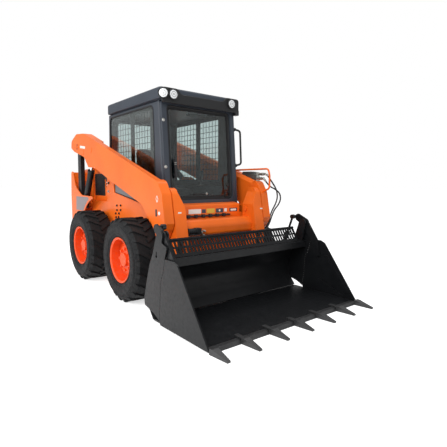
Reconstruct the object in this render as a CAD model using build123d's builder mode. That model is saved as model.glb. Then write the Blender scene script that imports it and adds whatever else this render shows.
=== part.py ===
"""Skid steer loader with a vertical-lift arm, a closed cab and a combination bucket.

Millimetres, +Z up.  The machine faces -Y and its left side is +X.  The origin lies
on the ground under the middle of the overall length and width.
"""
import os
from math import atan2, cos, degrees, hypot, radians, sin, tan

from build123d import *

os.makedirs("parts", exist_ok=True)

# ---------------------------------------------------------------- driving sizes
# Wheels: 12-16.5 tyres on eight-stud rims.
WHEELBASE = 1107
FRONT_AXLE_Y = -170
REAR_AXLE_Y = FRONT_AXLE_Y + WHEELBASE
TYRE_R = 409
TYRE_W = 310
TRACK = 1470
LUG_H = 17
LUG_W = 38
LUGS_PER_ROW = 22
RIM_SEAT_R = 210
RIM_FLANGE_R = 222
RIM_T = 8
RIM_DISC_INSET = 68
HUB_R = 66
STUD_COUNT = 8
STUD_CIRCLE_R = 105
AXLE_SHAFT_R = 30
AXLE_Z = TYRE_R

# Main frame.
FRAME_X = TRACK / 2 - TYRE_W / 2 - 20
FRAME_PLATE = 12
PAN_Z = 225
FRONT_WALL_Y = -470
BULKHEAD_Y = 770
ENGINE_BAY_X = 512
TAIL_Y = 1740
MACHINE_REAR_Y = TAIL_Y + 90
LEDGE_Z = 900
FRONT_WALL_TOP = 840
CAB_SEAT_Z = LEDGE_Z + FRAME_PLATE
REAR_PANEL_X = 670
REAR_PANEL_T = 10

# Lift arms and their linkage, as (y, z) of each pin.
ARM_OUT_X = 665
ARM_IN_X = 567
ARM_PLATE = 12
ARM_SLOT_X = (ARM_OUT_X + ARM_IN_X) / 2
REAR_LINK_TOP = (1539, 1612)
REAR_LINK_FOOT = (1560, 970)
FRONT_LINK_FOOT = (778, 1141)
FRONT_LINK_TOP = (1340, 1530)
LIFT_CYL_FOOT = (1430, 860)
LIFT_CYL_EYE = (1060, 1545)
TILT_PIVOT = (-670, 240)
TILT_CYL_TOP = (-545, 880)
TILT_CYL_EYE = (-715, 320)
LEG_IN_X = 430
LEG_OUT_X = 555
LEG_MID_X = (LEG_IN_X + LEG_OUT_X) / 2
PIN_R = 25
PIN_GAP = 0.3
EYE_W = 56
LINK_W = 52
FRONT_LINK_X = 523
FRONT_LINK_T = 20

# Cab.
CAB_X = 470
CAB_WALL = 25
CAB_BASE_Z = 905
CAB_TOP_Z = 1960
CAB_FRONT_LOW_Y = -345
CAB_FRONT_TOP_Y = -258
CAB_REAR_LOW_Y = 985
CAB_REAR_TOP_Y = 955
ROOF_X = 500
ROOF_FRONT_Y = -340
ROOF_REAR_Y = 935
ROOF_TOP_Z = 2080
ROOF_CORNER_R = 45
GLASS_T = 5
SEAT_GAP = 0.3

# Combination bucket: a back blade and a clam that opens forward.
BUCKET_X = 897
SIDE_PLATE = 12
BLADE_T = 10
CLAM_PIVOT = (-1004, 747)
CLAM_CYL_FOOT = (-722, 350)
CLAM_CYL_EYE = (-896, 797)
CLAM_CYL_X = 800
SPLIT_GAP = 4
FLOOR_Z = 12
FLOOR_T = 16
TOOTH_TIP_Y = -1830
LIP_Y = TOOTH_TIP_Y + 179
TEETH = 7
TOOTH_W = 62

# Running clearance between moving plates.
CLEAR = 5

SIDES = (("right", -1), ("left", 1))
AXLES = (("front", FRONT_AXLE_Y), ("rear", REAR_AXLE_Y))


# ---------------------------------------------------------------- small helpers
def outline(corners):
    """Fill the closed outline of (u, v, corner radius) corners on the open sketch."""
    with BuildLine() as edge:
        FilletPolyline(
            *[(u, v) for u, v, _ in corners],
            radius=[r for _, _, r in corners],
            close=True,
        )
    make_face(edge.edges())


def side_plate(corners, x, thickness, mode=Mode.ADD):
    """Plate seen from the side: (y, z, radius) corners, from x towards +X."""
    with BuildSketch(Plane.YZ.offset(x)) as profile:
        outline(corners)
    extrude(profile.sketch, amount=thickness, mode=mode)


def side_disc(centre, radius, x, thickness, mode=Mode.ADD):
    """Round boss, pin or bore along X, centred on a (y, z) point."""
    with BuildSketch(Plane.YZ.offset(x)) as profile:
        with Locations(centre):
            Circle(radius)
    extrude(profile.sketch, amount=thickness, mode=mode)


def box(x, y, z, mode=Mode.ADD):
    """Block between two limits on each axis, each given as (low, high)."""
    with BuildSketch(Plane.XY.offset(z[0])) as profile:
        with Locations(((x[0] + x[1]) / 2, (y[0] + y[1]) / 2)):
            Rectangle(x[1] - x[0], y[1] - y[0])
    extrude(profile.sketch, amount=z[1] - z[0], mode=mode)


def span(start, end):
    """Distance between two (y, z) points."""
    return hypot(end[0] - start[0], end[1] - start[1])


def rod_plane(x, start, end):
    """Plane at start whose normal points to end; both are (y, z) points."""
    return Plane(
        origin=(x, start[0], start[1]),
        x_dir=(1, 0, 0),
        z_dir=(0, end[0] - start[0], end[1] - start[1]),
    )


def round_bar(plane, radius, near, far, mode=Mode.ADD):
    """Cylinder along a plane's normal between two distances from its origin."""
    with BuildSketch(plane.offset(near)) as profile:
        Circle(radius)
    extrude(profile.sketch, amount=far - near, mode=mode)


def keep(part, name):
    """Label a finished sub-part and write it to its own file."""
    part.label = name
    export_step(part, f"parts/{name}.step")


# ---------------------------------------------------------------- wheels
# The wheel is made with its axis along Z and its outer face towards +Z.
TREAD_R = TYRE_R - LUG_H
SHOULDER_Z = TYRE_W / 2 - 18
BEAD_Z = 118

with BuildPart() as carcass:
    with BuildSketch(Plane.XZ):
        with BuildLine():
            bead = Line((RIM_SEAT_R + 1, -BEAD_Z), (RIM_SEAT_R + 1, BEAD_Z))
            wall = ThreePointArc(
                bead @ 1, (300, TYRE_W / 2), (TREAD_R - 22, SHOULDER_Z + 6)
            )
            corner = Line(wall @ 1, (TREAD_R, SHOULDER_Z - 20))
            crown = Line(corner @ 1, (TREAD_R, -SHOULDER_Z + 20))
            corner_2 = Line(crown @ 1, (TREAD_R - 22, -SHOULDER_Z - 6))
            ThreePointArc(corner_2 @ 1, (300, -TYRE_W / 2), bead @ 0)
        make_face()
    revolve(axis=Axis.Z)

# One chevron bar of the tread, cut to the tyre's outer envelope.
with BuildPart() as lug:
    with BuildSketch(Plane.YZ.offset(TREAD_R - 26)):
        outline(
            (
                (-LUG_W / 2, -8, 4),
                (LUG_W / 2, -8, 4),
                (LUG_W / 2 + 78, SHOULDER_Z * 0.72, 0),
                (LUG_W / 2 + 84, SHOULDER_Z + 14, 4),
                (-LUG_W / 2 + 84, SHOULDER_Z + 14, 4),
                (-LUG_W / 2 + 72, SHOULDER_Z * 0.72, 0),
            )
        )
    extrude(amount=LUG_H + 40)
    with BuildSketch(Plane.XZ):
        outline(
            (
                (TREAD_R - 30, -20, 0),
                (TYRE_R, -20, 0),
                (TYRE_R, SHOULDER_Z - 14, 0),
                (TREAD_R - 30, SHOULDER_Z + 14, 0),
            )
        )
    revolve(axis=Axis.Z, mode=Mode.INTERSECT)

with BuildPart() as tyre:
    add(carcass.part)
    with PolarLocations(0, LUGS_PER_ROW):
        add(lug.part)
    with PolarLocations(0, LUGS_PER_ROW, start_angle=180 / LUGS_PER_ROW):
        add(lug.part.mirror(Plane.XY))

# Rim: a rolled section with a dished disc, the hub and its studs.
RIM_FACE_Z = TYRE_W / 2 - 17
DISC_Z = RIM_FACE_Z - RIM_DISC_INSET
HUB_BACK_Z = -60
HUB_FRONT_Z = DISC_Z + 30
with BuildPart() as rim:
    with BuildSketch(Plane.XZ):
        with BuildLine():
            Polyline(
                (RIM_SEAT_R - RIM_T, -RIM_FACE_Z + RIM_T),
                (RIM_FLANGE_R, -RIM_FACE_Z),
                (RIM_FLANGE_R, -RIM_FACE_Z + RIM_T),
                (RIM_SEAT_R, -RIM_FACE_Z + 2 * RIM_T),
                (RIM_SEAT_R, RIM_FACE_Z - 2 * RIM_T),
                (RIM_FLANGE_R, RIM_FACE_Z - RIM_T),
                (RIM_FLANGE_R, RIM_FACE_Z),
                (RIM_SEAT_R - RIM_T, RIM_FACE_Z - RIM_T),
                close=True,
            )
        make_face()
    revolve(axis=Axis.Z)
    with BuildSketch(Plane.XZ):
        with BuildLine():
            Polyline(
                (0, DISC_Z - 12),
                (HUB_R + 20, DISC_Z - 12),
                (STUD_CIRCLE_R + 22, DISC_Z - 12),
                (RIM_SEAT_R - 2, DISC_Z - 44),
                (RIM_SEAT_R - 2, DISC_Z - 32),
                (STUD_CIRCLE_R + 26, DISC_Z),
                (HUB_R, DISC_Z),
                (HUB_R, HUB_FRONT_Z),
                (0, HUB_FRONT_Z),
                close=True,
            )
        make_face()
    revolve(axis=Axis.Z)
    with BuildSketch(Plane.XY.offset(HUB_BACK_Z)):
        Circle(HUB_R)
    extrude(amount=DISC_Z - HUB_BACK_Z)
    with BuildSketch(Plane.XY.offset(DISC_Z)):
        with PolarLocations(STUD_CIRCLE_R, STUD_COUNT):
            RegularPolygon(radius=15, side_count=6)
    extrude(amount=20)
    with BuildSketch(Plane.XY.offset(HUB_BACK_Z)):
        Circle(AXLE_SHAFT_R + PIN_GAP)
    extrude(amount=HUB_FRONT_Z - 18 - HUB_BACK_Z, mode=Mode.SUBTRACT)

for side, sign in SIDES:
    for end, axle_y in AXLES:
        place = Location((sign * TRACK / 2, axle_y, AXLE_Z), (0, 90 * sign, 0))
        keep(tyre.part.moved(place), f"tyre_{end}_{side}")
        keep(rim.part.moved(place), f"rim_{end}_{side}")

# ---------------------------------------------------------------- main frame
FRAME_IN = FRAME_X - FRAME_PLATE
CHAIN_CASE_IN = 330
CHAIN_CASE_TOP = 600
CHEEK_X = FRONT_LINK_X - CLEAR
CHEEK_T = 22
PANEL_IN = REAR_PANEL_X - REAR_PANEL_T
ENGINE_WALL_IN = ENGINE_BAY_X - FRAME_PLATE
HOOD_SEAT_Z = 1290
HOOD_X = ENGINE_BAY_X - CLEAR
HOOD_T = 5
BUMPER_Z = (560, 690)
HOOD_HINGE = (1022, 1316)
HOOD_PIN_R = 7
TAIL_HINGE = (513, TAIL_Y + 50)
TAIL_HINGE_R = 8
TAIL_HINGE_Z = (780, 1160)
TAIL_TAB_T = 14
TAIL_KNUCKLE_H = 30
HOOD_EAR_T = 5
SHELF_Z = 905
PLATE_REAR_Y = 1340
UPRIGHT = (
    (636, 1037, 0),
    (650, 1225, 30),
    (838, 1235, 40),
    (846, 965, 0),
)
GRILLE_Y = (1015, 1355)
GRILLE_Z = (985, 1262)


def grille_outline(inset):
    """Rounded rectangle of the side grille, drawn in by an inset."""
    low_y, high_y = GRILLE_Y[0] + inset, GRILLE_Y[1] - inset
    low_z, high_z = GRILLE_Z[0] + inset, GRILLE_Z[1] - inset
    return tuple((y, z, 15) for y, z in ((low_y, low_z), (high_y, low_z), (high_y, high_z), (low_y, high_z)))


with BuildPart() as frame:
    side_plate(
        (
            (FRONT_WALL_Y, 262, 0),
            (FRONT_WALL_Y + 37, PAN_Z, 0),
            (BULKHEAD_Y + FRAME_PLATE, PAN_Z, 0),
            (BULKHEAD_Y + FRAME_PLATE, BUMPER_Z[0], 0),
            (PLATE_REAR_Y, BUMPER_Z[0], 0),
            (PLATE_REAR_Y, SHELF_Z + FRAME_PLATE, 30),
            (850, 925, 0),
            *reversed(UPRIGHT),
            (-60, 936, 0),
            (-400, 915, 30),
            (FRONT_WALL_Y, FRONT_WALL_TOP, 0),
        ),
        FRAME_IN,
        FRAME_PLATE,
    )
    # Inner cheek of the front link's bracket, standing on the ledge.
    side_plate(
        ((636, LEDGE_Z, 0), *UPRIGHT, (846, LEDGE_Z, 0)),
        CHEEK_X - CHEEK_T,
        CHEEK_T,
    )
    # Shelf that ties the rear of the side plate to the engine bay.
    box((ENGINE_BAY_X - 1, FRAME_IN + 1), (BULKHEAD_Y, PLATE_REAR_Y), (SHELF_Z, SHELF_Z + FRAME_PLATE))
    side_disc(FRONT_LINK_FOOT, PIN_R, CHEEK_X - 4, FRAME_IN - CHEEK_X + 6)
    box((CAB_X - 30, FRAME_IN), (CAB_FRONT_LOW_Y + 10, BULKHEAD_Y), (LEDGE_Z, CAB_SEAT_Z))
    # Engine bay wall, with the opening of the side grille.
    side_plate(
        (
            (BULKHEAD_Y, PAN_Z, 0),
            (1500, PAN_Z, 60),
            (1700, 400, 60),
            (TAIL_Y, 720, 20),
            (TAIL_Y, HOOD_SEAT_Z, 0),
            (1000, HOOD_SEAT_Z, 0),
            (1000, 1110, 20),
            (BULKHEAD_Y, 960, 0),
        ),
        ENGINE_WALL_IN,
        FRAME_PLATE,
    )
    side_plate(
        grille_outline(0),
        ENGINE_WALL_IN - 1,
        FRAME_PLATE + 2,
        Mode.SUBTRACT,
    )
    # Ears and pins of the hood, outside its side walls.
    side_plate(
        (
            (HOOD_HINGE[0] - 15, HOOD_SEAT_Z - 20, 0),
            (HOOD_HINGE[0] + 15, HOOD_SEAT_Z - 20, 0),
            (HOOD_HINGE[0] + 15, HOOD_HINGE[1] + 15, 12),
            (HOOD_HINGE[0] - 15, HOOD_HINGE[1] + 15, 12),
        ),
        ENGINE_BAY_X,
        HOOD_EAR_T,
    )
    side_disc(HOOD_HINGE, HOOD_PIN_R, HOOD_X - HOOD_T - 3, ENGINE_BAY_X + HOOD_EAR_T - HOOD_X + HOOD_T + 3)
    # Chain case.
    box((CHAIN_CASE_IN, CHAIN_CASE_IN + FRAME_PLATE), (FRONT_WALL_Y, BULKHEAD_Y), (PAN_Z, CHAIN_CASE_TOP))
    box((CHAIN_CASE_IN, FRAME_IN), (FRONT_WALL_Y, BULKHEAD_Y), (CHAIN_CASE_TOP, CHAIN_CASE_TOP + FRAME_PLATE))
    mirror(about=Plane.YZ)
    # Cross members.
    box((-FRAME_IN, FRAME_IN), (FRONT_WALL_Y + 37, 1500), (PAN_Z, PAN_Z + FRAME_PLATE))
    box((-FRAME_X, FRAME_X), (FRONT_WALL_Y, FRONT_WALL_Y + FRAME_PLATE), (262, FRONT_WALL_TOP))
    box((-FRAME_IN, FRAME_IN), (BULKHEAD_Y, BULKHEAD_Y + FRAME_PLATE), (PAN_Z, 895))
    box((-ENGINE_BAY_X, ENGINE_BAY_X), (TAIL_Y - FRAME_PLATE, TAIL_Y), (BUMPER_Z[0], 696))
keep(frame.part, "frame")

# Supports of the lift linkage, welded to the engine bay on each side.
with BuildPart() as link_supports:
    side_plate(
        ((1370, 900, 0), (1430, 900, 0), (1430, 1440, 20), (1370, 1440, 20)),
        ENGINE_BAY_X,
        16,
    )
    # Pins of the rear link and the lift cylinder, carried to the outer panel.
    for pin in (REAR_LINK_FOOT, LIFT_CYL_FOOT):
        side_disc(pin, PIN_R, ENGINE_BAY_X, PANEL_IN - ENGINE_BAY_X)
        side_disc(pin, PIN_R + 25, ENGINE_BAY_X, 60)
    mirror(about=Plane.YZ)
keep(link_supports.part, "link_supports")

# Wing plates that tie the outer rear panels to the tail, with the door's hinge pins.
with BuildPart() as wing_plates:
    box((ENGINE_BAY_X, PANEL_IN), (TAIL_Y - FRAME_PLATE, TAIL_Y), (BUMPER_Z[0], 1285))
    mirror(about=Plane.YZ)
    for z in TAIL_HINGE_Z:
        box(
            (TAIL_HINGE[0], TAIL_HINGE[0] + 24),
            (TAIL_Y - 1, TAIL_HINGE[1] + 12),
            (z, z + TAIL_TAB_T),
        )
        with BuildSketch(Plane.XY.offset(z)):
            with Locations(TAIL_HINGE):
                Circle(TAIL_HINGE_R)
        extrude(amount=TAIL_TAB_T + TAIL_KNUCKLE_H + 1)
keep(wing_plates.part, "wing_plates")

# Outer rear panels, cut round the wheels.
REAR_ARCH_R = 550
with BuildPart() as rear_panels:
    side_plate(
        (
            (1010, 880, 0),
            (1050, 980, 25),
            (1420, 985, 110),
            (MACHINE_REAR_Y - 180, 1090, 110),
            (MACHINE_REAR_Y - 95, 1296, 30),
            (MACHINE_REAR_Y - 30, 1296, 36),
            (MACHINE_REAR_Y, 980, 120),
            (MACHINE_REAR_Y, 600, 60),
            (1500, 560, 0),
            (1200, 600, 0),
        ),
        PANEL_IN,
        REAR_PANEL_T,
    )
    side_disc((REAR_AXLE_Y, AXLE_Z), REAR_ARCH_R, PANEL_IN - 1, REAR_PANEL_T + 2, Mode.SUBTRACT)
    mirror(about=Plane.YZ)
keep(rear_panels.part, "rear_panels")

# Axle housings with their stub shafts, one to each wheel.
AXLE_SHAFT_END = TRACK / 2 + HUB_FRONT_Z - 24
with BuildPart() as axle_housings:
    for end, axle_y in AXLES:
        wall_x = FRAME_X if end == "front" else ENGINE_BAY_X
        with BuildSketch(Plane.YZ.offset(wall_x)):
            with Locations((axle_y, AXLE_Z)):
                Circle(105)
        extrude(amount=14)
        with BuildSketch(Plane.YZ.offset(wall_x)):
            with Locations((axle_y, AXLE_Z)):
                Circle(70)
        extrude(amount=TRACK / 2 + HUB_BACK_Z - CLEAR - wall_x)
        with BuildSketch(Plane.YZ.offset(wall_x)):
            with Locations((axle_y, AXLE_Z)):
                Circle(AXLE_SHAFT_R)
        extrude(amount=AXLE_SHAFT_END - wall_x)
    mirror(about=Plane.YZ)
keep(axle_housings.part, "axle_housings")

# Rear bumper across the tail, with the two tie-down eyes.
TIE_BORE_R = 22
TIE_T = 20
TIE_X = 360
TIE_Z = 480
with BuildPart() as rear_bumper:
    with BuildSketch(Plane.XY.offset(BUMPER_Z[0])):
        with BuildLine():
            FilletPolyline(
                (-PANEL_IN, TAIL_Y),
                (-PANEL_IN, MACHINE_REAR_Y - 25),
                (-PANEL_IN + 70, MACHINE_REAR_Y),
                (PANEL_IN - 70, MACHINE_REAR_Y),
                (PANEL_IN, MACHINE_REAR_Y - 25),
                (PANEL_IN, TAIL_Y),
                radius=12,
                close=True,
            )
        make_face()
    extrude(amount=BUMPER_Z[1] - BUMPER_Z[0])
    for sign in (-1, 1):
        with BuildSketch(Plane.YZ.offset(sign * TIE_X - TIE_T / 2)):
            outline(
                (
                    (TAIL_Y + 4, BUMPER_Z[0], 0),
                    (TAIL_Y + 4, TIE_Z - 30, 10),
                    (TAIL_Y + 80, TIE_Z - 40, 30),
                    (TAIL_Y + 80, BUMPER_Z[0], 0),
                )
            )
            with Locations((TAIL_Y + 42, TIE_Z)):
                Circle(TIE_BORE_R, mode=Mode.SUBTRACT)
        extrude(amount=TIE_T)
keep(rear_bumper.part, "rear_bumper")

# Engine, a closed mass on four feet in the bay.
ENGINE_X = 270
ENGINE_Y = (1000, 1480)
ENGINE_Z = (330, 1010)
with BuildPart() as engine:
    box((-ENGINE_X, ENGINE_X), ENGINE_Y, ENGINE_Z)
    fillet(engine.edges().filter_by(Axis.Z), radius=40)
    for foot_x in (-ENGINE_X + 50, ENGINE_X - 50):
        for foot_y in (ENGINE_Y[0] + 70, ENGINE_Y[1] - 70):
            box(
                (foot_x - 35, foot_x + 35),
                (foot_y - 35, foot_y + 35),
                (PAN_Z + FRAME_PLATE, ENGINE_Z[0]),
            )
keep(engine.part, "engine")

# Louvred grilles in the sides of the engine bay.
LOUVRES = 9
LOUVRE_H = 13
GRILLE_RIM = 25
with BuildPart() as side_grilles:
    side_plate(grille_outline(SEAT_GAP), ENGINE_WALL_IN, FRAME_PLATE - 1)
    side_plate(grille_outline(GRILLE_RIM), ENGINE_WALL_IN + 2, FRAME_PLATE, Mode.SUBTRACT)
    pitch = (GRILLE_Z[1] - GRILLE_Z[0] - 2 * GRILLE_RIM) / LOUVRES
    for i in range(LOUVRES):
        z = GRILLE_Z[0] + GRILLE_RIM + i * pitch
        side_plate(
            (
                (GRILLE_Y[0] + GRILLE_RIM - 1, z, 0),
                (GRILLE_Y[1] - GRILLE_RIM + 1, z, 0),
                (GRILLE_Y[1] - GRILLE_RIM + 1, z + LOUVRE_H, 0),
                (GRILLE_Y[0] + GRILLE_RIM - 1, z + LOUVRE_H, 0),
            ),
            ENGINE_WALL_IN,
            FRAME_PLATE - 2,
        )
    mirror(about=Plane.YZ)
keep(side_grilles.part, "side_grilles")

# ---------------------------------------------------------------- engine lids
HOOD_END_Y = 1735
with BuildPart() as hood:
    side_plate(
        (
            (1004, HOOD_SEAT_Z + 12, 0),
            (1044, HOOD_SEAT_Z + SEAT_GAP, 0),
            (HOOD_END_Y, HOOD_SEAT_Z + SEAT_GAP, 0),
            (HOOD_END_Y, HOOD_SEAT_Z + 34, 20),
            (1060, HOOD_SEAT_Z + 60, 60),
            (1004, HOOD_SEAT_Z + 50, 10),
        ),
        -HOOD_X,
        2 * HOOD_X,
    )
    side_plate(
        (
            (1012, HOOD_SEAT_Z, 0),
            (HOOD_END_Y - 8, HOOD_SEAT_Z, 0),
            (HOOD_END_Y - 8, HOOD_SEAT_Z + 27, 12),
            (1060, HOOD_SEAT_Z + 52, 50),
            (1012, HOOD_SEAT_Z + 43, 6),
        ),
        -HOOD_X + HOOD_T,
        2 * (HOOD_X - HOOD_T),
        Mode.SUBTRACT,
    )
    side_disc(HOOD_HINGE, HOOD_PIN_R + PIN_GAP, -HOOD_X - 1, 2 * HOOD_X + 2, Mode.SUBTRACT)
    with BuildSketch(Plane.XY.offset(HOOD_SEAT_Z)):
        with GridLocations(260, 60, 3, 7):
            with Locations((0, 1400)):
                SlotOverall(200, 18)
    extrude(amount=100, mode=Mode.SUBTRACT)
keep(hood.part, "hood")

TAIL_DOOR_X = 490
TAIL_DOOR_Y = (TAIL_Y + SEAT_GAP, TAIL_Y + 62)
TAIL_DOOR_Z = (700, 1280)
with BuildPart() as tail_door:
    with BuildSketch(Plane.XY.offset(TAIL_DOOR_Z[0])):
        with BuildLine():
            FilletPolyline(
                (-TAIL_DOOR_X, TAIL_DOOR_Y[0]),
                (-TAIL_DOOR_X, TAIL_DOOR_Y[1] - 18),
                (-TAIL_DOOR_X + 120, TAIL_DOOR_Y[1]),
                (TAIL_DOOR_X - 120, TAIL_DOOR_Y[1]),
                (TAIL_DOOR_X, TAIL_DOOR_Y[1] - 18),
                (TAIL_DOOR_X, TAIL_DOOR_Y[0]),
                radius=8,
                close=True,
            )
        make_face()
    extrude(amount=TAIL_DOOR_Z[1] - TAIL_DOOR_Z[0])
    box(
        (-TAIL_DOOR_X + 10, TAIL_DOOR_X - 10),
        (TAIL_DOOR_Y[0] - 1, TAIL_DOOR_Y[0] + 30),
        (TAIL_DOOR_Z[0] + 10, TAIL_DOOR_Z[1] - 10),
        Mode.SUBTRACT,
    )
    # Knuckles that turn on the frame's pins.
    for z in TAIL_HINGE_Z:
        with BuildSketch(Plane.XY.offset(z + TAIL_TAB_T + SEAT_GAP)):
            with Locations(TAIL_HINGE):
                Circle(TAIL_HINGE_R + 7)
            with Locations((TAIL_HINGE[0] - 18, TAIL_HINGE[1] - 8)):
                Rectangle(22, 14)
            with Locations(TAIL_HINGE):
                Circle(TAIL_HINGE_R + PIN_GAP, mode=Mode.SUBTRACT)
        extrude(amount=TAIL_KNUCKLE_H)
    with BuildSketch(Plane.XZ.offset(-TAIL_DOOR_Y[0])):
        with GridLocations(250, 40, 3, 8):
            with Locations((0, 1010)):
                SlotOverall(215, 18)
    extrude(amount=-80, mode=Mode.SUBTRACT)
keep(tail_door.part, "tail_door")

with BuildPart() as rear_lamps:
    for z in (1080, 1180):
        with BuildSketch(Plane.XZ.offset(-TAIL_Y)):
            with Locations((580, z)):
                Circle(38)
        extrude(amount=-34)
    mirror(about=Plane.YZ)
keep(rear_lamps.part, "rear_lamps")

# ---------------------------------------------------------------- cab
DOOR_RISE = CAB_TOP_Z - CAB_BASE_Z
DOOR_LEAN = CAB_FRONT_TOP_Y - CAB_FRONT_LOW_Y
DOOR_PLANE = Plane(
    origin=(0, CAB_FRONT_LOW_Y, CAB_BASE_Z),
    x_dir=(1, 0, 0),
    z_dir=(0, -DOOR_RISE, DOOR_LEAN),
)
DOOR_LENGTH = hypot(DOOR_RISE, DOOR_LEAN)
WINDOW_Z = (1150, 1925)
WINDOW_FRONT_Y = (-185, -150)
WINDOW_REAR_Y = 915


def window_outline(inset):
    """Outline of the side window, drawn in by an inset."""
    low_z, high_z = WINDOW_Z[0] + inset, WINDOW_Z[1] - inset
    return (
        (WINDOW_FRONT_Y[0] + inset, low_z, 40),
        (WINDOW_REAR_Y - inset, low_z, 60),
        (WINDOW_REAR_Y - inset, high_z, 60),
        (WINDOW_FRONT_Y[1] + inset, high_z, 60),
    )


WINDOW_IN = CAB_X - CAB_WALL
REAR_WINDOW_X = 360
REAR_WINDOW_Z = (1400, 1880)

with BuildPart() as cab_shell:
    side_plate(
        (
            (CAB_FRONT_LOW_Y, CAB_SEAT_Z, 0),
            (CAB_FRONT_TOP_Y, CAB_TOP_Z, 0),
            (CAB_REAR_TOP_Y, CAB_TOP_Z, 0),
            (CAB_REAR_LOW_Y, 1150, 0),
            (CAB_REAR_LOW_Y, 1120, 0),
            (800, CAB_SEAT_Z, 0),
        ),
        -CAB_X,
        2 * CAB_X,
    )
    fillet(cab_shell.edges().filter_by(Plane.YZ).filter_by(lambda e: e.length > 800), radius=18)
    side_plate(
        (
            (CAB_FRONT_LOW_Y - 50, CAB_BASE_Z, 0),
            (CAB_FRONT_TOP_Y - 50, CAB_TOP_Z - 20, 0),
            (CAB_REAR_TOP_Y - 22, CAB_TOP_Z - 20, 60),
            (CAB_REAR_LOW_Y - 22, 1150, 0),
            (CAB_REAR_LOW_Y - 22, 1130, 0),
            (780, CAB_BASE_Z, 0),
        ),
        -WINDOW_IN,
        2 * WINDOW_IN,
        Mode.SUBTRACT,
    )
    side_plate(window_outline(0), -CAB_X - 1, 2 * CAB_X + 2, Mode.SUBTRACT)
    with BuildSketch(Plane.XZ.offset(-CAB_REAR_TOP_Y + 40)):
        with Locations((0, sum(REAR_WINDOW_Z) / 2)):
            RectangleRounded(2 * REAR_WINDOW_X, REAR_WINDOW_Z[1] - REAR_WINDOW_Z[0], 50)
    extrude(amount=-120, mode=Mode.SUBTRACT)
keep(cab_shell.part, "cab_shell")

# Floor pan: footwell, riser and seat deck folded from one plate.
FOOTWELL_X = CHAIN_CASE_IN - SEAT_GAP
SEAT_DECK_Z = 872
with BuildPart() as cab_floor:
    side_plate(
        (
            (FRONT_WALL_Y + 20, CHAIN_CASE_TOP - 40, 0),
            (-60, CHAIN_CASE_TOP - 40, 10),
            (-60, SEAT_DECK_Z, 10),
            (BULKHEAD_Y - 2, SEAT_DECK_Z, 0),
            (BULKHEAD_Y - 2, SEAT_DECK_Z - FRAME_PLATE, 0),
            (-60 + FRAME_PLATE, SEAT_DECK_Z - FRAME_PLATE, 6),
            (-60 + FRAME_PLATE, CHAIN_CASE_TOP - 40 - FRAME_PLATE, 6),
            (FRONT_WALL_Y + 20, CHAIN_CASE_TOP - 40 - FRAME_PLATE, 0),
        ),
        -FOOTWELL_X,
        2 * FOOTWELL_X,
    )
    for sign in (-1, 1):
        low_x, high_x = sorted((sign * FOOTWELL_X, sign * (CAB_X - 34)))
        box((low_x, high_x), (FRONT_WALL_Y + 30, BULKHEAD_Y - 2), (SEAT_DECK_Z - FRAME_PLATE, SEAT_DECK_Z))
        low_x, high_x = sorted((sign * FOOTWELL_X, sign * (FOOTWELL_X - 6)))
        box((low_x, high_x), (FRONT_WALL_Y + 30, -55), (CHAIN_CASE_TOP - 45, SEAT_DECK_Z - 5))
keep(cab_floor.part, "cab_floor")

# Roof: a deep cap with a raised, bevelled panel.
with BuildPart() as cab_roof:
    with BuildSketch(Plane.XY.offset(CAB_TOP_Z)):
        with Locations((0, (ROOF_FRONT_Y + ROOF_REAR_Y) / 2)):
            RectangleRounded(2 * ROOF_X, ROOF_REAR_Y - ROOF_FRONT_Y, ROOF_CORNER_R)
    extrude(amount=88)
    chamfer(cab_roof.faces().sort_by(Axis.Z)[-1].edges(), length=14)
    with BuildSketch(Plane.XY.offset(CAB_TOP_Z + 88)):
        with Locations((0, (ROOF_FRONT_Y + ROOF_REAR_Y) / 2 + 10)):
            RectangleRounded(2 * ROOF_X - 110, ROOF_REAR_Y - ROOF_FRONT_Y - 130, 60)
    extrude(amount=ROOF_TOP_Z - CAB_TOP_Z - 88, taper=35)
keep(cab_roof.part, "cab_roof")

# Front door: one leaning frame with a big glass.
DOOR_X = 458
DOOR_T = 32
DOOR_GLASS = (404, 50, DOOR_LENGTH - 14, 55)
with BuildPart() as front_door:
    with BuildSketch(DOOR_PLANE.offset(1)):
        with Locations((0, DOOR_LENGTH / 2)):
            RectangleRounded(2 * DOOR_X, DOOR_LENGTH - 14, 24)
        with Locations((0, (DOOR_GLASS[1] + DOOR_GLASS[2]) / 2)):
            RectangleRounded(
                2 * DOOR_GLASS[0],
                DOOR_GLASS[2] - DOOR_GLASS[1] - 50,
                DOOR_GLASS[3],
                mode=Mode.SUBTRACT,
            )
    extrude(amount=DOOR_T)
keep(front_door.part, "front_door")

with BuildPart() as cab_glass:
    with BuildSketch(DOOR_PLANE.offset(1 - SEAT_GAP - GLASS_T)):
        with Locations((0, (DOOR_GLASS[1] + DOOR_GLASS[2]) / 2)):
            RectangleRounded(
                2 * DOOR_GLASS[0] + 30,
                DOOR_GLASS[2] - DOOR_GLASS[1] - 20,
                DOOR_GLASS[3],
            )
    extrude(amount=GLASS_T)
    for x in (-CAB_X + 4, CAB_X - 4 - GLASS_T):
        side_plate(window_outline(SEAT_GAP), x, GLASS_T)
    with BuildSketch(Plane.XZ.offset(-CAB_REAR_TOP_Y + 12)):
        with Locations((0, sum(REAR_WINDOW_Z) / 2)):
            RectangleRounded(
                2 * REAR_WINDOW_X - 2 * SEAT_GAP,
                REAR_WINDOW_Z[1] - REAR_WINDOW_Z[0] - 2 * SEAT_GAP,
                50,
            )
    extrude(amount=GLASS_T)
keep(cab_glass.part, "cab_glass")

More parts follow.
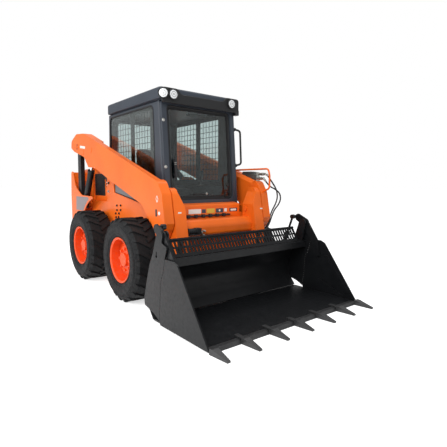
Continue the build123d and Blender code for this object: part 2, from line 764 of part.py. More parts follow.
# Steel screens inside the side windows.
SCREEN_X = WINDOW_IN - SEAT_GAP
SCREEN_T = 8
SCREEN_PITCH = 66
SCREEN_WIRE = 5
PANES = ((-45, 321), (405, 875))
PANE_Z = (1190, 1885)
with BuildPart() as side_screens:
    side_plate(
        ((-225, 1120, 20), (927, 1120, 20), (927, 1931, 58), (-180, 1934, 20)),
        SCREEN_X - SCREEN_T,
        SCREEN_T,
    )
    for low_y, high_y in PANES:
        side_plate(
            (
                (low_y, PANE_Z[0], 20),
                (high_y, PANE_Z[0], 20),
                (high_y, PANE_Z[1], 20),
                (low_y, PANE_Z[1], 20),
            ),
            SCREEN_X - SCREEN_T - 1,
            SCREEN_T + 2,
            Mode.SUBTRACT,
        )
    for low_y, high_y in PANES:
        columns = round((high_y - low_y) / SCREEN_PITCH)
        for i in range(1, columns):
            y = low_y + i * (high_y - low_y) / columns
            box(
                (SCREEN_X - 3, SCREEN_X),
                (y - SCREEN_WIRE / 2, y + SCREEN_WIRE / 2),
                (PANE_Z[0] - 1, PANE_Z[1] + 1),
            )
        rows = round((PANE_Z[1] - PANE_Z[0]) / SCREEN_PITCH)
        for i in range(1, rows):
            z = PANE_Z[0] + i * (PANE_Z[1] - PANE_Z[0]) / rows
            box(
                (SCREEN_X - SCREEN_T, SCREEN_X - SCREEN_T + 3),
                (low_y - 1, high_y + 1),
                (z - SCREEN_WIRE / 2, z + SCREEN_WIRE / 2),
            )
    mirror(about=Plane.YZ)
keep(side_screens.part, "side_screens")

# Door furniture: pull handle and wiper.
HANDLE_X = -372
with BuildPart() as door_handle:
    for v in (310, 440):
        with BuildSketch(DOOR_PLANE.offset(1 + DOOR_T)):
            with Locations((HANDLE_X - 48, v)):
                Circle(9)
        extrude(amount=34)
    with BuildSketch(DOOR_PLANE.offset(1 + DOOR_T + 26)):
        with Locations((HANDLE_X - 48, 375)):
            SlotOverall(168, 20, rotation=90)
    extrude(amount=16)
keep(door_handle.part, "door_handle")

WIPER_POST = (60, 118)
with BuildPart() as wiper:
    with BuildSketch(DOOR_PLANE.offset(1)):
        with Locations(WIPER_POST):
            Circle(17)
    extrude(amount=20)
    with BuildSketch(DOOR_PLANE.offset(15)):
        with Locations((WIPER_POST[0] - 190, WIPER_POST[1])):
            SlotOverall(400, 14)
    extrude(amount=8)
    with BuildSketch(DOOR_PLANE.offset(3)):
        with Locations((WIPER_POST[0] - 190, WIPER_POST[1] + 4)):
            Rectangle(470, 9)
    extrude(amount=14)
keep(wiper.part, "wiper")

# Work lamps under the roof's front edge: two face ahead, two the corners.
LAMP_R = 44
LAMP_Z = CAB_TOP_Z + 48
LAMP_X = 367
LAMP_TURN = 42
with BuildPart() as work_lamps:
    for sign in (-1, 1):
        for x, y, turn in (
            (LAMP_X, ROOF_FRONT_Y, 0),
            (
                ROOF_X - ROOF_CORNER_R * (1 - sin(radians(LAMP_TURN))),
                ROOF_FRONT_Y + ROOF_CORNER_R * (1 - cos(radians(LAMP_TURN))),
                LAMP_TURN,
            ),
        ):
            aim = Plane(
                origin=(sign * x, y, LAMP_Z),
                x_dir=(cos(radians(turn)), sign * sin(radians(turn)), 0),
                z_dir=(sign * sin(radians(turn)), -cos(radians(turn)), 0),
            )
            round_bar(aim, LAMP_R * 0.5, SEAT_GAP, 12)
            round_bar(aim, LAMP_R * 0.8, 10, 20)
            round_bar(aim, LAMP_R, 18, 34)
keep(work_lamps.part, "work_lamps")

# Seat on its box, in front of the cab's rear wall.
with BuildPart() as seat:
    side_plate(
        ((150, 1000, 30), (210, 965, 20), (640, 965, 20), (650, 1060, 40), (170, 1090, 45)),
        -235,
        470,
    )
    side_plate(
        ((610, 1068, 20), (700, 1068, 20), (790, 1590, 34), (715, 1610, 28)),
        -225,
        450,
    )
    side_plate(((560, 965, 0), (720, 965, 0), (720, 1075, 0), (560, 1060, 0)), -120, 240)
keep(seat.part, "seat")

with BuildPart() as seat_box:
    box((-210, 210), (190, 690), (SEAT_DECK_Z, 965 - SEAT_GAP))
    fillet(seat_box.edges().filter_by(Axis.Z), radius=30)
keep(seat_box.part, "seat_box")

# Armrest consoles with a control lever on each.
with BuildPart() as controls:
    for sign in (-1, 1):
        low_x, high_x = sorted((sign * 275, sign * 350))
        side_plate(
            (
                (60, 1130, 25),
                (120, 1180, 30),
                (520, 1180, 20),
                (520, 1130, 10),
                (440, 1110, 20),
                (440, SEAT_DECK_Z, 0),
                (360, SEAT_DECK_Z, 0),
                (360, 1110, 20),
            ),
            low_x,
            high_x - low_x,
        )
        with BuildSketch(Plane.XY.offset(1165)):
            with Locations((sign * 312, 115)):
                Circle(14)
        extrude(amount=60)
        with BuildSketch(Plane.XY.offset(1215)):
            with Locations((sign * 312, 115)):
                Ellipse(20, 26)
        extrude(amount=85, taper=3)
keep(controls.part, "controls")

# Grab handle on the machine's left front pillar.
GRAB_X = 486
with BuildPart() as grab_handle:
    with BuildLine() as grab_path:
        FilletPolyline(
            (CAB_X, -272, 1350),
            (CAB_X + 45, -272, 1350),
            (CAB_X + 45, -238, 1745),
            (CAB_X, -238, 1745),
            radius=30,
        )
    with BuildSketch(Plane(origin=(CAB_X, -272, 1350), z_dir=(1, 0, 0))):
        Circle(11)
    sweep(path=grab_path.line)
keep(grab_handle.part, "grab_handle")

# Folded sill plate ahead of the door, with the hydraulic fittings under it.
SILL_X = 405
SILL_END_Y = CAB_FRONT_LOW_Y - DOOR_T - 6
with BuildPart() as front_sill:
    side_plate(
        (
            (FRONT_WALL_Y, FRONT_WALL_TOP, 0),
            (FRONT_WALL_Y, 935, 25),
            (SILL_END_Y, 948, 0),
            (SILL_END_Y, 938, 0),
            (FRONT_WALL_Y + 10, 925, 15),
            (FRONT_WALL_Y + 10, FRONT_WALL_TOP, 0),
        ),
        -SILL_X,
        2 * SILL_X,
    )
    for x in (-SILL_X, SILL_X - 8):
        box((x, x + 8), (FRONT_WALL_Y + 8, SILL_END_Y), (SEAT_DECK_Z, 927))
keep(front_sill.part, "front_sill")

with BuildPart() as front_fittings:
    with BuildSketch(Plane.YZ.offset(-300)):
        with Locations((FRONT_WALL_Y - 11, 822)):
            Circle(9)
    extrude(amount=560)
    for i in range(6):
        box(
            (-290 + i * 90, -258 + i * 90),
            (FRONT_WALL_Y - 24, FRONT_WALL_Y),
            (806, 838),
        )
keep(front_fittings.part, "front_fittings")

# ---------------------------------------------------------------- lift arms
ARM_BEND = (1280, 1762)
ARM_NOSE = (-568, 1168)
ARM_BEVEL = (33, 40)
BEVEL_START_Y = 890
ARM_TOP = (
    (1762, 1700, 60),
    (1560, 1778, 120),
    (*ARM_BEND, 300),
    (*ARM_NOSE, 70),
    (-637, 1058, 60),
)
ARM_BOTTOM = (
    (-262, 945, 60),
    (450, 1162, 60),
    (940, 1326, 60),
    (1160, 1340, 40),
    (1294, 1471, 80),
    (1660, 1556, 60),
    (1775, 1610, 50),
)
ARM_SLOT = (
    (915, 1200, 0),
    (935, 1600, 60),
    (1240, 1720, 120),
    (1521, 1750, 60),
    (1640, 1715, 40),
    (1900, 1715, 0),
    (1900, 1200, 0),
)
LEG_FRONT = (
    (-500, 1100, 40),
    (-600, 1110, 60),
    (-637, 1058, 60),
    (-713, 660, 20),
    (-703, 520, 30),
    (-720, 380, 20),
)
LEG = (
    *LEG_FRONT,
    (-724, 230, 30),
    (-700, 188, 40),
    (-630, 188, 50),
    (-600, 300, 60),
    (-520, 640, 60),
    (-492, 700, 20),
)
CROSS_Y = (-650, -495)
CROSS_Z = (645, 800)


def arm_top(y):
    """Height of the arm's straight top edge at a place along Y."""
    slope = (ARM_BEND[1] - ARM_NOSE[1]) / (ARM_BEND[0] - ARM_NOSE[0])
    return ARM_NOSE[1] + slope * (y - ARM_NOSE[0])


# Inner top corner of the leg, seen from the front as (x, z).
LEG_SLOPE = ((LEG_IN_X, 930), (492, 1066), (492, 1130))
with BuildPart() as leg_cover:
    side_plate(LEG, LEG_IN_X, LEG_OUT_X - LEG_IN_X)
    with BuildSketch(Plane.XZ):
        with BuildLine():
            Polyline(
                *LEG_SLOPE,
                (LEG_SLOPE[2][0] + ARM_PLATE, LEG_SLOPE[2][1]),
                (LEG_SLOPE[1][0] + ARM_PLATE, LEG_SLOPE[1][1] - 3),
                (LEG_IN_X + ARM_PLATE, LEG_SLOPE[0][1] - 3),
                close=True,
            )
        make_face()
    extrude(amount=800, mode=Mode.INTERSECT)

GUARD_TUBE_X = 612
GUARD_TUBE_R = 10
with BuildPart() as lift_arms:
    with BuildSketch(Plane.YZ.offset(ARM_IN_X)):
        with BuildLine():
            upper = FilletPolyline(
                (1775, 1610),
                *[(y, z) for y, z, _ in ARM_TOP],
                (-690, 790),
                radius=[r for _, _, r in ARM_TOP],
            )
            Polyline(upper @ 1, (-668, 735), (-560, 590))
            ThreePointArc((-560, 590), (-472, 742), (-330, 862))
            FilletPolyline(
                (-330, 862),
                *[(y, z) for y, z, _ in ARM_BOTTOM],
                radius=[r for _, _, r in ARM_BOTTOM[:-1]],
            )
        make_face()
    extrude(amount=ARM_OUT_X - ARM_IN_X)
    side_plate(ARM_SLOT, ARM_IN_X + ARM_PLATE, ARM_OUT_X - ARM_IN_X - 2 * ARM_PLATE, Mode.SUBTRACT)
    # Bevel along the inner edge of the arm's top, from the cab's rear to the nose.
    bevel_start = (BEVEL_START_Y, arm_top(BEVEL_START_Y))
    with BuildSketch(rod_plane(0, bevel_start, ARM_NOSE)):
        with BuildLine():
            Polyline(
                (ARM_IN_X - 1, 1),
                (ARM_IN_X + ARM_BEVEL[0], 1),
                (ARM_IN_X - 1, -ARM_BEVEL[1]),
                close=True,
            )
        make_face()
    extrude(amount=span(bevel_start, ARM_NOSE) - 60, mode=Mode.SUBTRACT)
    # Pin of the rear link between the two plates of the tail, and outside bosses.
    side_disc(REAR_LINK_TOP, PIN_R, ARM_IN_X, ARM_OUT_X - ARM_IN_X)
    side_disc(REAR_LINK_TOP, 46, ARM_OUT_X, 3)
    for pin in (FRONT_LINK_TOP, LIFT_CYL_EYE):
        side_disc(pin, 34, ARM_OUT_X, 3)
    side_disc(FRONT_LINK_TOP, 44, FRONT_LINK_X + FRONT_LINK_T + CLEAR, ARM_IN_X - FRONT_LINK_X - FRONT_LINK_T - CLEAR)
    # Leg: two plates with a face plate in front, and the web to the arm's box.
    side_plate(LEG, LEG_IN_X, ARM_PLATE)
    side_plate(LEG, LEG_OUT_X - ARM_PLATE, ARM_PLATE)
    side_plate(
        (
            (-480, 1110, 0),
            (-600, 1110, 60),
            (-637, 1058, 60),
            (-713, 660, 0),
            (-713 + ARM_PLATE, 660, 0),
            (-637 + ARM_PLATE, 1052, 55),
            (-595, 1098, 50),
            (-480, 1098, 0),
        ),
        LEG_IN_X,
        LEG_OUT_X - LEG_IN_X,
    )
    side_plate(
        ((-640, 760, 0), (-600, 1040, 0), (-500, 1060, 0), (-500, 760, 0)),
        LEG_OUT_X - ARM_PLATE,
        ARM_IN_X - LEG_OUT_X + ARM_PLATE + 2,
    )
    side_disc(TILT_PIVOT, 56, LEG_IN_X, LEG_OUT_X - LEG_IN_X)
    side_plate(
        ((-800, 330, 0), (-560, 330, 0), (-560, 150, 0), (-800, 150, 0)),
        LEG_IN_X + ARM_PLATE,
        LEG_OUT_X - LEG_IN_X - 2 * ARM_PLATE,
        Mode.SUBTRACT,
    )
    side_disc(TILT_PIVOT, 56, LEG_IN_X, 24)
    side_disc(TILT_PIVOT, 56, LEG_OUT_X - 24, 24)
    for x in (LEG_IN_X - 1, LEG_OUT_X - 25):
        side_disc(TILT_PIVOT, PIN_R + PIN_GAP, x, 26, Mode.SUBTRACT)
    side_disc(TILT_CYL_TOP, PIN_R, LEG_IN_X - 14, LEG_OUT_X - LEG_IN_X + 14)
    # The leg's inner top corner is cut along a slope and closed again.
    with BuildSketch(Plane.XZ):
        with BuildLine():
            Polyline(*LEG_SLOPE, (LEG_IN_X - 20, LEG_SLOPE[2][1]), (LEG_IN_X - 20, LEG_SLOPE[0][1]), close=True)
        make_face()
    extrude(amount=800, mode=Mode.SUBTRACT)
    add(leg_cover.part)
    # Stepped cross member between the legs.
    side_plate(
        (
            (CROSS_Y[0], CROSS_Z[0], 30),
            (CROSS_Y[1], CROSS_Z[0], 20),
            (CROSS_Y[1], CROSS_Z[1], 20),
            (CROSS_Y[0] + 40, CROSS_Z[1], 45),
            (CROSS_Y[0], CROSS_Z[1] - 60, 60),
        ),
        0,
        LEG_IN_X + 4,
    )
    mirror(about=Plane.YZ)
    # Tube that guards the couplers above the arm's front end.
    with BuildLine() as guard_path:
        FilletPolyline(
            (GUARD_TUBE_X, -120, 1306),
            (GUARD_TUBE_X, -700, 1310),
            (GUARD_TUBE_X, -722, 1240),
            (GUARD_TUBE_X, -722, 1100),
            (GUARD_TUBE_X, -610, 1056),
            radius=40,
        )
    with BuildSketch(Plane(origin=(GUARD_TUBE_X, -120, 1306), z_dir=(0, -1, 0))):
        Circle(GUARD_TUBE_R)
    sweep(path=guard_path.line)
keep(lift_arms.part, "lift_arms")

# Auxiliary hydraulics on the left arm: a block, two quick couplers and two hoses.
BLOCK_X = (ARM_IN_X + ARM_BEVEL[0], 652)
BLOCK_FRONT_Y = -530
COUPLER_R = 17
COUPLER_END_Y = -645
HOSE_R = 8
FITTING_R = 11
FERRULE = 26
FITTING_END_X = 602
with BuildPart() as aux_block:
    side_plate(
        (
            (-290, arm_top(-290) + SEAT_GAP, 0),
            (-300, 1286, 8),
            (-430, 1286, 12),
            (BLOCK_FRONT_Y, 1276, 12),
            (BLOCK_FRONT_Y, arm_top(BLOCK_FRONT_Y) + SEAT_GAP, 0),
        ),
        BLOCK_X[0],
        BLOCK_X[1] - BLOCK_X[0],
    )
keep(aux_block.part, "aux_block")

# Every hose as its coupler (x, z), the points of its route, and its name.
HOSES = (
    (
        (632, 1254),
        (
            (652, -655, 1236),
            (725, -655, 1165),
            (795, -655, 1085),
            (815, -655, 1000),
            (785, -655, 925),
            (735, -655, 862),
            (700, -652, 790),
            (690, -646, 722),
            (660, -640, 664),
            (FITTING_END_X, -635, 640),
        ),
        "aux_hose_upper",
    ),
    (
        (604, 1206),
        (
            (618, -657, 1178),
            (665, -672, 1120),
            (742, -680, 1092),
            (820, -680, 1048),
            (842, -680, 980),
            (805, -680, 915),
            (745, -680, 868),
            (705, -678, 800),
            (678, -675, 725),
            (640, -675, 672),
            (FITTING_END_X, -675, 650),
        ),
        "aux_hose_lower",
    ),
)
with BuildPart() as aux_couplers:
    for (x, z), route, _ in HOSES:
        coupler_plane = Plane(origin=(x, BLOCK_FRONT_Y, z), x_dir=(1, 0, 0), z_dir=(0, -1, 0))
        length = BLOCK_FRONT_Y - COUPLER_END_Y
        round_bar(coupler_plane, COUPLER_R - 4, SEAT_GAP, length - 70)
        round_bar(coupler_plane, COUPLER_R, length - 75, length - 37)
        round_bar(coupler_plane, COUPLER_R - 3, length - 39, length)
        # Elbow from the coupler's end to the ferrule at the start of the hose.
        start, end = Vector(*route[0]), Vector(*route[-1])
        first_run = (Vector(*route[1]) - start).normalized()
        round_bar(Plane(origin=start, z_dir=first_run), FITTING_R, -FERRULE, -SEAT_GAP)
        bend = start - first_run * (FERRULE - FITTING_R)
        elbow = bend - Vector(x, COUPLER_END_Y + FITTING_R, z)
        round_bar(Plane(origin=bend - elbow, z_dir=elbow), FITTING_R, 0, elbow.length)
        # Ferrule at the hose's end, on a stub from the leg's outer side.
        last_run = (end - Vector(*route[-2])).normalized()
        round_bar(Plane(origin=end, z_dir=last_run), FITTING_R, SEAT_GAP, FERRULE)
        bend = end + last_run * (FERRULE - FITTING_R)
        side_disc((bend.Y, bend.Z), FITTING_R, LEG_OUT_X + SEAT_GAP, bend.X - LEG_OUT_X - SEAT_GAP)
keep(aux_couplers.part, "aux_couplers")


def hose(route, name):
    """Round hose of straight runs joined by arcs; prints its bend radii."""
    points = [Vector(*point) for point in route]
    runs = [b - a for a, b in zip(points, points[1:])]
    radii = [
        0.45 * min(a.length, b.length) / tan(radians(a.get_angle(b) / 2))
        for a, b in zip(runs, runs[1:])
    ]
    with BuildPart() as tube:
        with BuildLine() as path:
            FilletPolyline(*route, radius=radii)
        with BuildSketch(Plane(origin=route[0], z_dir=runs[0])) as section:
            Circle(HOSE_R)
        sweep(section.sketch, path=path.line)
    print(name, "bend radii", [round(r) for r in radii])
    keep(tube.part, name)


for _, route, name in HOSES:
    hose(route, name)

# Swivel with its bolts in front of the cross member, at the right leg.
SWIVEL_X = (-425, -330)
SWIVEL_R = 32
SWIVEL_FLANGE_R = 36
SWIVEL = (CROSS_Y[0] - SWIVEL_FLANGE_R - SEAT_GAP, 700)
with BuildPart() as swivel:
    side_disc(SWIVEL, SWIVEL_R, SWIVEL_X[0], SWIVEL_X[1] - SWIVEL_X[0])
    for x in (SWIVEL_X[0], SWIVEL_X[1] - 12):
        side_disc(SWIVEL, SWIVEL_FLANGE_R, x, 12)
    with BuildSketch(Plane.XZ.offset(-SWIVEL[0] + SWIVEL_R - 6)):
        with Locations(((SWIVEL_X[0] + SWIVEL_X[1]) / 2, SWIVEL[1])):
            with GridLocations(24, 1, 3, 1):
                RegularPolygon(radius=9, side_count=6)
    extrude(amount=14)
keep(swivel.part, "swivel")

# Rear and front links, one of each on both sides.
with BuildPart() as rear_links:
    with BuildSketch(Plane.YZ.offset(ARM_SLOT_X - LINK_W / 2)):
        with BuildLine():
            FilletPolyline(
                (REAR_LINK_TOP[0] - 48, REAR_LINK_TOP[1] + 46),
                (REAR_LINK_FOOT[0] - 58, REAR_LINK_FOOT[1] - 56),
                (REAR_LINK_FOOT[0] + 58, REAR_LINK_FOOT[1] - 56),
                (REAR_LINK_TOP[0] + 48, REAR_LINK_TOP[1] + 46),
                radius=[42, 50, 50, 42],
                close=True,
            )
        make_face()
        with Locations(REAR_LINK_TOP, REAR_LINK_FOOT):
            Circle(PIN_R + PIN_GAP, mode=Mode.SUBTRACT)
    extrude(amount=LINK_W)
    mirror(about=Plane.YZ)
keep(rear_links.part, "rear_links")

with BuildPart() as front_links:
    with BuildSketch(Plane.YZ.offset(FRONT_LINK_X)):
        with BuildLine():
            link_angle = degrees(
                atan2(
                    FRONT_LINK_TOP[1] - FRONT_LINK_FOOT[1],
                    FRONT_LINK_TOP[0] - FRONT_LINK_FOOT[0],
                )
            )
        middle = (
            (FRONT_LINK_FOOT[0] + FRONT_LINK_TOP[0]) / 2,
            (FRONT_LINK_FOOT[1] + FRONT_LINK_TOP[1]) / 2,
        )
        with Locations(middle):
            SlotCenterToCenter(span(FRONT_LINK_FOOT, FRONT_LINK_TOP), 88, rotation=link_angle)
        with Locations(FRONT_LINK_FOOT):
            Circle(PIN_R + PIN_GAP, mode=Mode.SUBTRACT)
    extrude(amount=FRONT_LINK_T)
    mirror(about=Plane.YZ)
keep(front_links.part, "front_links")


# ---------------------------------------------------------------- cylinders
def cylinder_barrel(foot, eye, x, bore_r, wall, gland, foot_w, pin_r):
    """Barrel with a foot eye on its pin; the bore stays open at the gland."""
    plane = rod_plane(x, foot, eye)
    side_disc(foot, pin_r + 20, x - foot_w / 2, foot_w)
    round_bar(plane, bore_r + wall, pin_r + 6, gland)
    round_bar(plane, bore_r + wall + 4, gland - 34, gland)
    side_disc(foot, pin_r + PIN_GAP, x - foot_w, 2 * foot_w, Mode.SUBTRACT)
    round_bar(plane, bore_r, pin_r + 14, gland + 1, Mode.SUBTRACT)


def cylinder_rod(foot, eye, x, rod_r, bore_r, tail, eye_r, eye_w):
    """Rod with its piston and the eye at its free end."""
    plane = rod_plane(x, foot, eye)
    round_bar(plane, rod_r, tail, span(foot, eye) - eye_r * 0.6)
    round_bar(plane, bore_r - PIN_GAP, tail, tail + 22)
    side_disc(eye, eye_r, x - eye_w / 2, eye_w)
    side_disc(eye, eye_r * 0.5, x - eye_w / 2 - 1, eye_w + 2)


LIFT_BORE_R = 32
LIFT_WALL = 6
LIFT_GLAND = 500
LIFT_ROD_R = 20
LIFT_TAIL = 48
with BuildPart() as lift_barrels:
    cylinder_barrel(
        LIFT_CYL_FOOT, LIFT_CYL_EYE, ARM_SLOT_X, LIFT_BORE_R, LIFT_WALL, LIFT_GLAND, EYE_W, PIN_R
    )
    mirror(about=Plane.YZ)
keep(lift_barrels.part, "lift_barrels")

with BuildPart() as lift_rods:
    cylinder_rod(
        LIFT_CYL_FOOT, LIFT_CYL_EYE, ARM_SLOT_X, LIFT_ROD_R, LIFT_BORE_R, LIFT_TAIL, 38, EYE_W
    )
    mirror(about=Plane.YZ)
keep(lift_rods.part, "lift_rods")

TILT_BORE_R = 26
TILT_WALL = 5
TILT_GLAND = 440
TILT_ROD_R = 16
TILT_TAIL = 90
TILT_EYE_W = 40
TILT_EYE_R = 26
with BuildPart() as tilt_barrels:
    cylinder_barrel(
        TILT_CYL_TOP, TILT_CYL_EYE, LEG_MID_X, TILT_BORE_R, TILT_WALL, TILT_GLAND, 70, PIN_R
    )
    mirror(about=Plane.YZ)
keep(tilt_barrels.part, "tilt_barrels")

with BuildPart() as tilt_rods:
    cylinder_rod(
        TILT_CYL_TOP, TILT_CYL_EYE, LEG_MID_X, TILT_ROD_R, TILT_BORE_R, TILT_TAIL, TILT_EYE_R, TILT_EYE_W
    )
    mirror(about=Plane.YZ)
keep(tilt_rods.part, "tilt_rods")

# ---------------------------------------------------------------- coupler
EAR_T = 14
with BuildPart() as coupler:
    # Face plate between the legs, and the wings outside them.
    for low_x, high_x in ((0, LEG_IN_X - 32), (LEG_OUT_X + 8, 700)):
        side_plate(
            (
                (-714, 150, 0),
                (-736, 520, 10),
                (-750, 520, 0),
                (-728, 150, 0),
            ),
            low_x,
            high_x - low_x,
        )
    # Foot rail along the bottom, below the pivots.
    side_plate(
        ((-740, 115, 8), (-652, 128, 10), (-652, 150, 8), (-738, 170, 8)),
        0,
        700,
    )
    # Ears: outside the legs at the pivots, and inside them for the tilt rods.
    ear = (
        (-736, 150, 0),
        (-620, 140, 30),
        (-612, 240, 40),
        (-640, 300, 30),
        (-742, 420, 0),
    )
    side_plate(ear, LEG_IN_X - CLEAR - EAR_T, EAR_T)
    side_plate(ear, LEG_OUT_X + CLEAR, EAR_T)
    side_disc(TILT_PIVOT, PIN_R, LEG_IN_X - CLEAR - EAR_T, LEG_OUT_X - LEG_IN_X + 2 * CLEAR + 2 * EAR_T)
    for x in (LEG_MID_X - TILT_EYE_W / 2 - CLEAR - 10, LEG_MID_X + TILT_EYE_W / 2 + CLEAR):
        side_plate(
            (
                (-736, 170, 0),
                (-640, 160, 20),
                (-625, 250, 30),
                (-672, 370, 24),
                (-750, 376, 12),
                (-742, 330, 0),
            ),
            x,
            10,
        )
    mirror(about=Plane.YZ)
keep(coupler.part, "coupler")

# ---------------------------------------------------------------- bucket back
BLADE_FACE = ((-870, 32), (-790, 130), (-771, 290), (-838, 470), (-1018, 512))
SPLIT_LINE = ((-984, 42), (-1005, 240), (-1016, 373), (-1061, 473), (-1078, 567))
SPLIT_TOOTH = 8
SPLIT_PITCH = 26


def split_edge(shift):
    """Notched corners along the split line, moved by shift towards the blade."""
    corners = []
    for (y0, z0), (y1, z1) in zip(SPLIT_LINE, SPLIT_LINE[1:]):
        length = hypot(y1 - y0, z1 - z0)
        across = ((z1 - z0) / length, -(y1 - y0) / length)
        steps = round(length / SPLIT_PITCH)
        for i in range(steps):
            for part_of_step, depth in ((0, 0), (0.5, SPLIT_TOOTH)):
                at = (i + part_of_step) / steps
                out = shift + depth
                corners.append(
                    (y0 + at * (y1 - y0) + out * across[0], z0 + at * (z1 - z0) + out * across[1], 0)
                )
    y, z = SPLIT_LINE[-1]
    return (*corners, (y + shift, z, 0))


SIDE_REAR = (
    (-1028, 690, 6),
    (-1046, 752, 30),
    (-1004, 792, 34),
    (-955, 760, 30),
    (-885, 583, 20),
    (-825, 475, 30),
    (-774, 329, 60),
    (-728, 180, 20),
    (-732, 118, 20),
    (-900, 80, 30),
    *split_edge(SPLIT_GAP / 2),
    (-1110, 660, 12),
)
with BuildPart() as bucket_back:
    # Blade: a rolled plate with a constant wall.
    with BuildSketch(Plane.YZ):
        with BuildLine():
            face = FilletPolyline(*BLADE_FACE, radius=[90, 130, 150])
            offset(amount=BLADE_T, side=Side.RIGHT)
        make_face()
    extrude(amount=BUCKET_X - SIDE_PLATE / 2)
    # Upper lip of the blade.
    side_plate(
        ((-1020, 476, 0), (-1020, 544, 8), (-960, 556, 10), (-940, 490, 0)),
        0,
        BUCKET_X - SIDE_PLATE / 2,
    )
    side_plate(SIDE_REAR, BUCKET_X - SIDE_PLATE, SIDE_PLATE)
    # Keyhole for a chain hook.
    side_disc((-945, 570), 13, BUCKET_X - SIDE_PLATE - 1, SIDE_PLATE + 2, Mode.SUBTRACT)
    side_plate(
        ((-951, 570, 0), (-951, 610, 5), (-939, 610, 5), (-939, 570, 0)),
        BUCKET_X - SIDE_PLATE - 1,
        SIDE_PLATE + 2,
        Mode.SUBTRACT,
    )
    # Inner ear that carries the clam's pin.
    side_plate(
        ((-1046, 752, 30), (-1004, 792, 34), (-960, 752, 26), (-880, 520, 0), (-1000, 520, 0)),
        832,
        14,
    )
    side_disc(CLAM_PIVOT, 18, 832, BUCKET_X - 832)
    # Pads that seat on the coupler's face plate.
    side_plate(
        ((-779, 190, 0), (-730.7, 190, 0), (-739.0, 330, 0), (-782, 330, 0), (-770, 290, 0)),
        90,
        220,
    )
    # Bracket at the foot of the clam's cylinder.
    for x in (CLAM_CYL_X - 41, CLAM_CYL_X + 29):
        side_plate(
            ((-780, 322, 0), (-720, 310, 30), (-684, 350, 30), (-722, 395, 30), (-795, 400, 0)),
            x,
            12,
        )
    side_disc(CLAM_CYL_FOOT, 16, CLAM_CYL_X - 41, 82)
    mirror(about=Plane.YZ)
keep(bucket_back.part, "bucket_back")

# Slotted guard above the blade.
GUARD = ((-1002, 548), (-915, 690))
GUARD_X = CLAM_CYL_X - 26
GUARD_T = 6
guard_plane = Plane(
    origin=(0, GUARD[0][0], GUARD[0][1]),
    x_dir=(1, 0, 0),
    z_dir=(0, -(GUARD[1][1] - GUARD[0][1]), GUARD[1][0] - GUARD[0][0]),
)
GUARD_H = span(*GUARD)
GUARD_SLOTS = 42
with BuildPart() as bucket_guard:
    with BuildSketch(guard_plane):
        with Locations((0, GUARD_H / 2)):
            Rectangle(2 * GUARD_X, GUARD_H)
        with Locations((0, GUARD_H / 2 + 2)):
            with GridLocations(2 * (GUARD_X - 20) / GUARD_SLOTS, 62, GUARD_SLOTS, 2):
                Rectangle(16, 46, mode=Mode.SUBTRACT)
    extrude(amount=GUARD_T)
    with BuildSketch(guard_plane.offset(-8)):
        with Locations((0, GUARD_H - 8)):
            Rectangle(2 * GUARD_X, 16)
    extrude(amount=22)
keep(bucket_guard.part, "bucket_guard")

# ---------------------------------------------------------------- clam
with BuildPart() as clam:
    side_plate(
        (
            *split_edge(-SPLIT_GAP / 2),
            (-1204, 568, 30),
            (-1258, 545, 30),
            (LIP_Y, 14, 0),
            (LIP_Y, FLOOR_Z, 0),
            (-992, FLOOR_Z, 0),
        ),
        BUCKET_X - SIDE_PLATE,
        SIDE_PLATE,
    )
    # Arm from the pin down to the side plate, inside it.
    side_plate(
        (
            (-1040, 770, 34),
            (-1004, 785, 36),
            (-966, 760, 30),
            (-985, 690, 60),
            (-1100, 560, 60),
            (-1160, 400, 26),
            (-1215, 400, 14),
            (-1190, 560, 60),
        ),
        BUCKET_X - SIDE_PLATE - CLEAR - 16,
        16,
    )
    side_plate(
        ((-1110, 540, 0), (-1150, 420, 20), (-1200, 420, 20), (-1180, 550, 0)),
        BUCKET_X - SIDE_PLATE - CLEAR - 1,
        CLEAR + 2,
    )
    # Lever behind the pin, worked by the cylinder.
    side_plate(
        ((-1030, 780, 30), (-910, 832, 30), (-866, 800, 26), (-890, 760, 20), (-985, 700, 30)),
        BUCKET_X - SIDE_PLATE - CLEAR - 16,
        16,
    )
    side_disc(CLAM_CYL_EYE, 15, CLAM_CYL_X + 26, BUCKET_X - SIDE_PLATE - CLEAR - 16 - CLAM_CYL_X - 26 + 2)
    side_disc(CLAM_PIVOT, 18 + PIN_GAP, 820, 90, Mode.SUBTRACT)
    # Floor, from the blade's foot to the cutting edge.
    side_plate(
        (
            (-872, FLOOR_Z, 0),
            (-838, FLOOR_Z + 7, 0),
            (-838, FLOOR_Z + 12, 0),
            (-862, FLOOR_Z + 11.5, 0),
            (-900, FLOOR_Z + FLOOR_T, 0),
            (LIP_Y + 60, FLOOR_Z + FLOOR_T, 0),
            (LIP_Y + 60, FLOOR_Z, 0),
        ),
        0,
        BUCKET_X - SIDE_PLATE - CLEAR,
    )
    side_plate(
        (
            (-1000, FLOOR_Z, 0),
            (-1000, FLOOR_Z + FLOOR_T, 0),
            (LIP_Y + 60, FLOOR_Z + FLOOR_T, 0),
            (LIP_Y + 60, FLOOR_Z, 0),
        ),
        BUCKET_X - SIDE_PLATE - CLEAR - 1,
        CLEAR + 2,
    )
    # Corner gusset and side cutter on the inner face of the plate.
    side_plate(
        ((-1110, 20, 0), (-1195, 165, 20), (-1515, 47, 0), (-1515, 20, 0)),
        BUCKET_X - SIDE_PLATE - 10,
        11,
    )
    side_plate(
        ((-1262, 420, 0), (-1300, 420, 10), (-1560, 90, 0), (-1520, 80, 0)),
        BUCKET_X - SIDE_PLATE - 10,
        11,
    )
    mirror(about=Plane.YZ)
keep(clam.part, "clam")

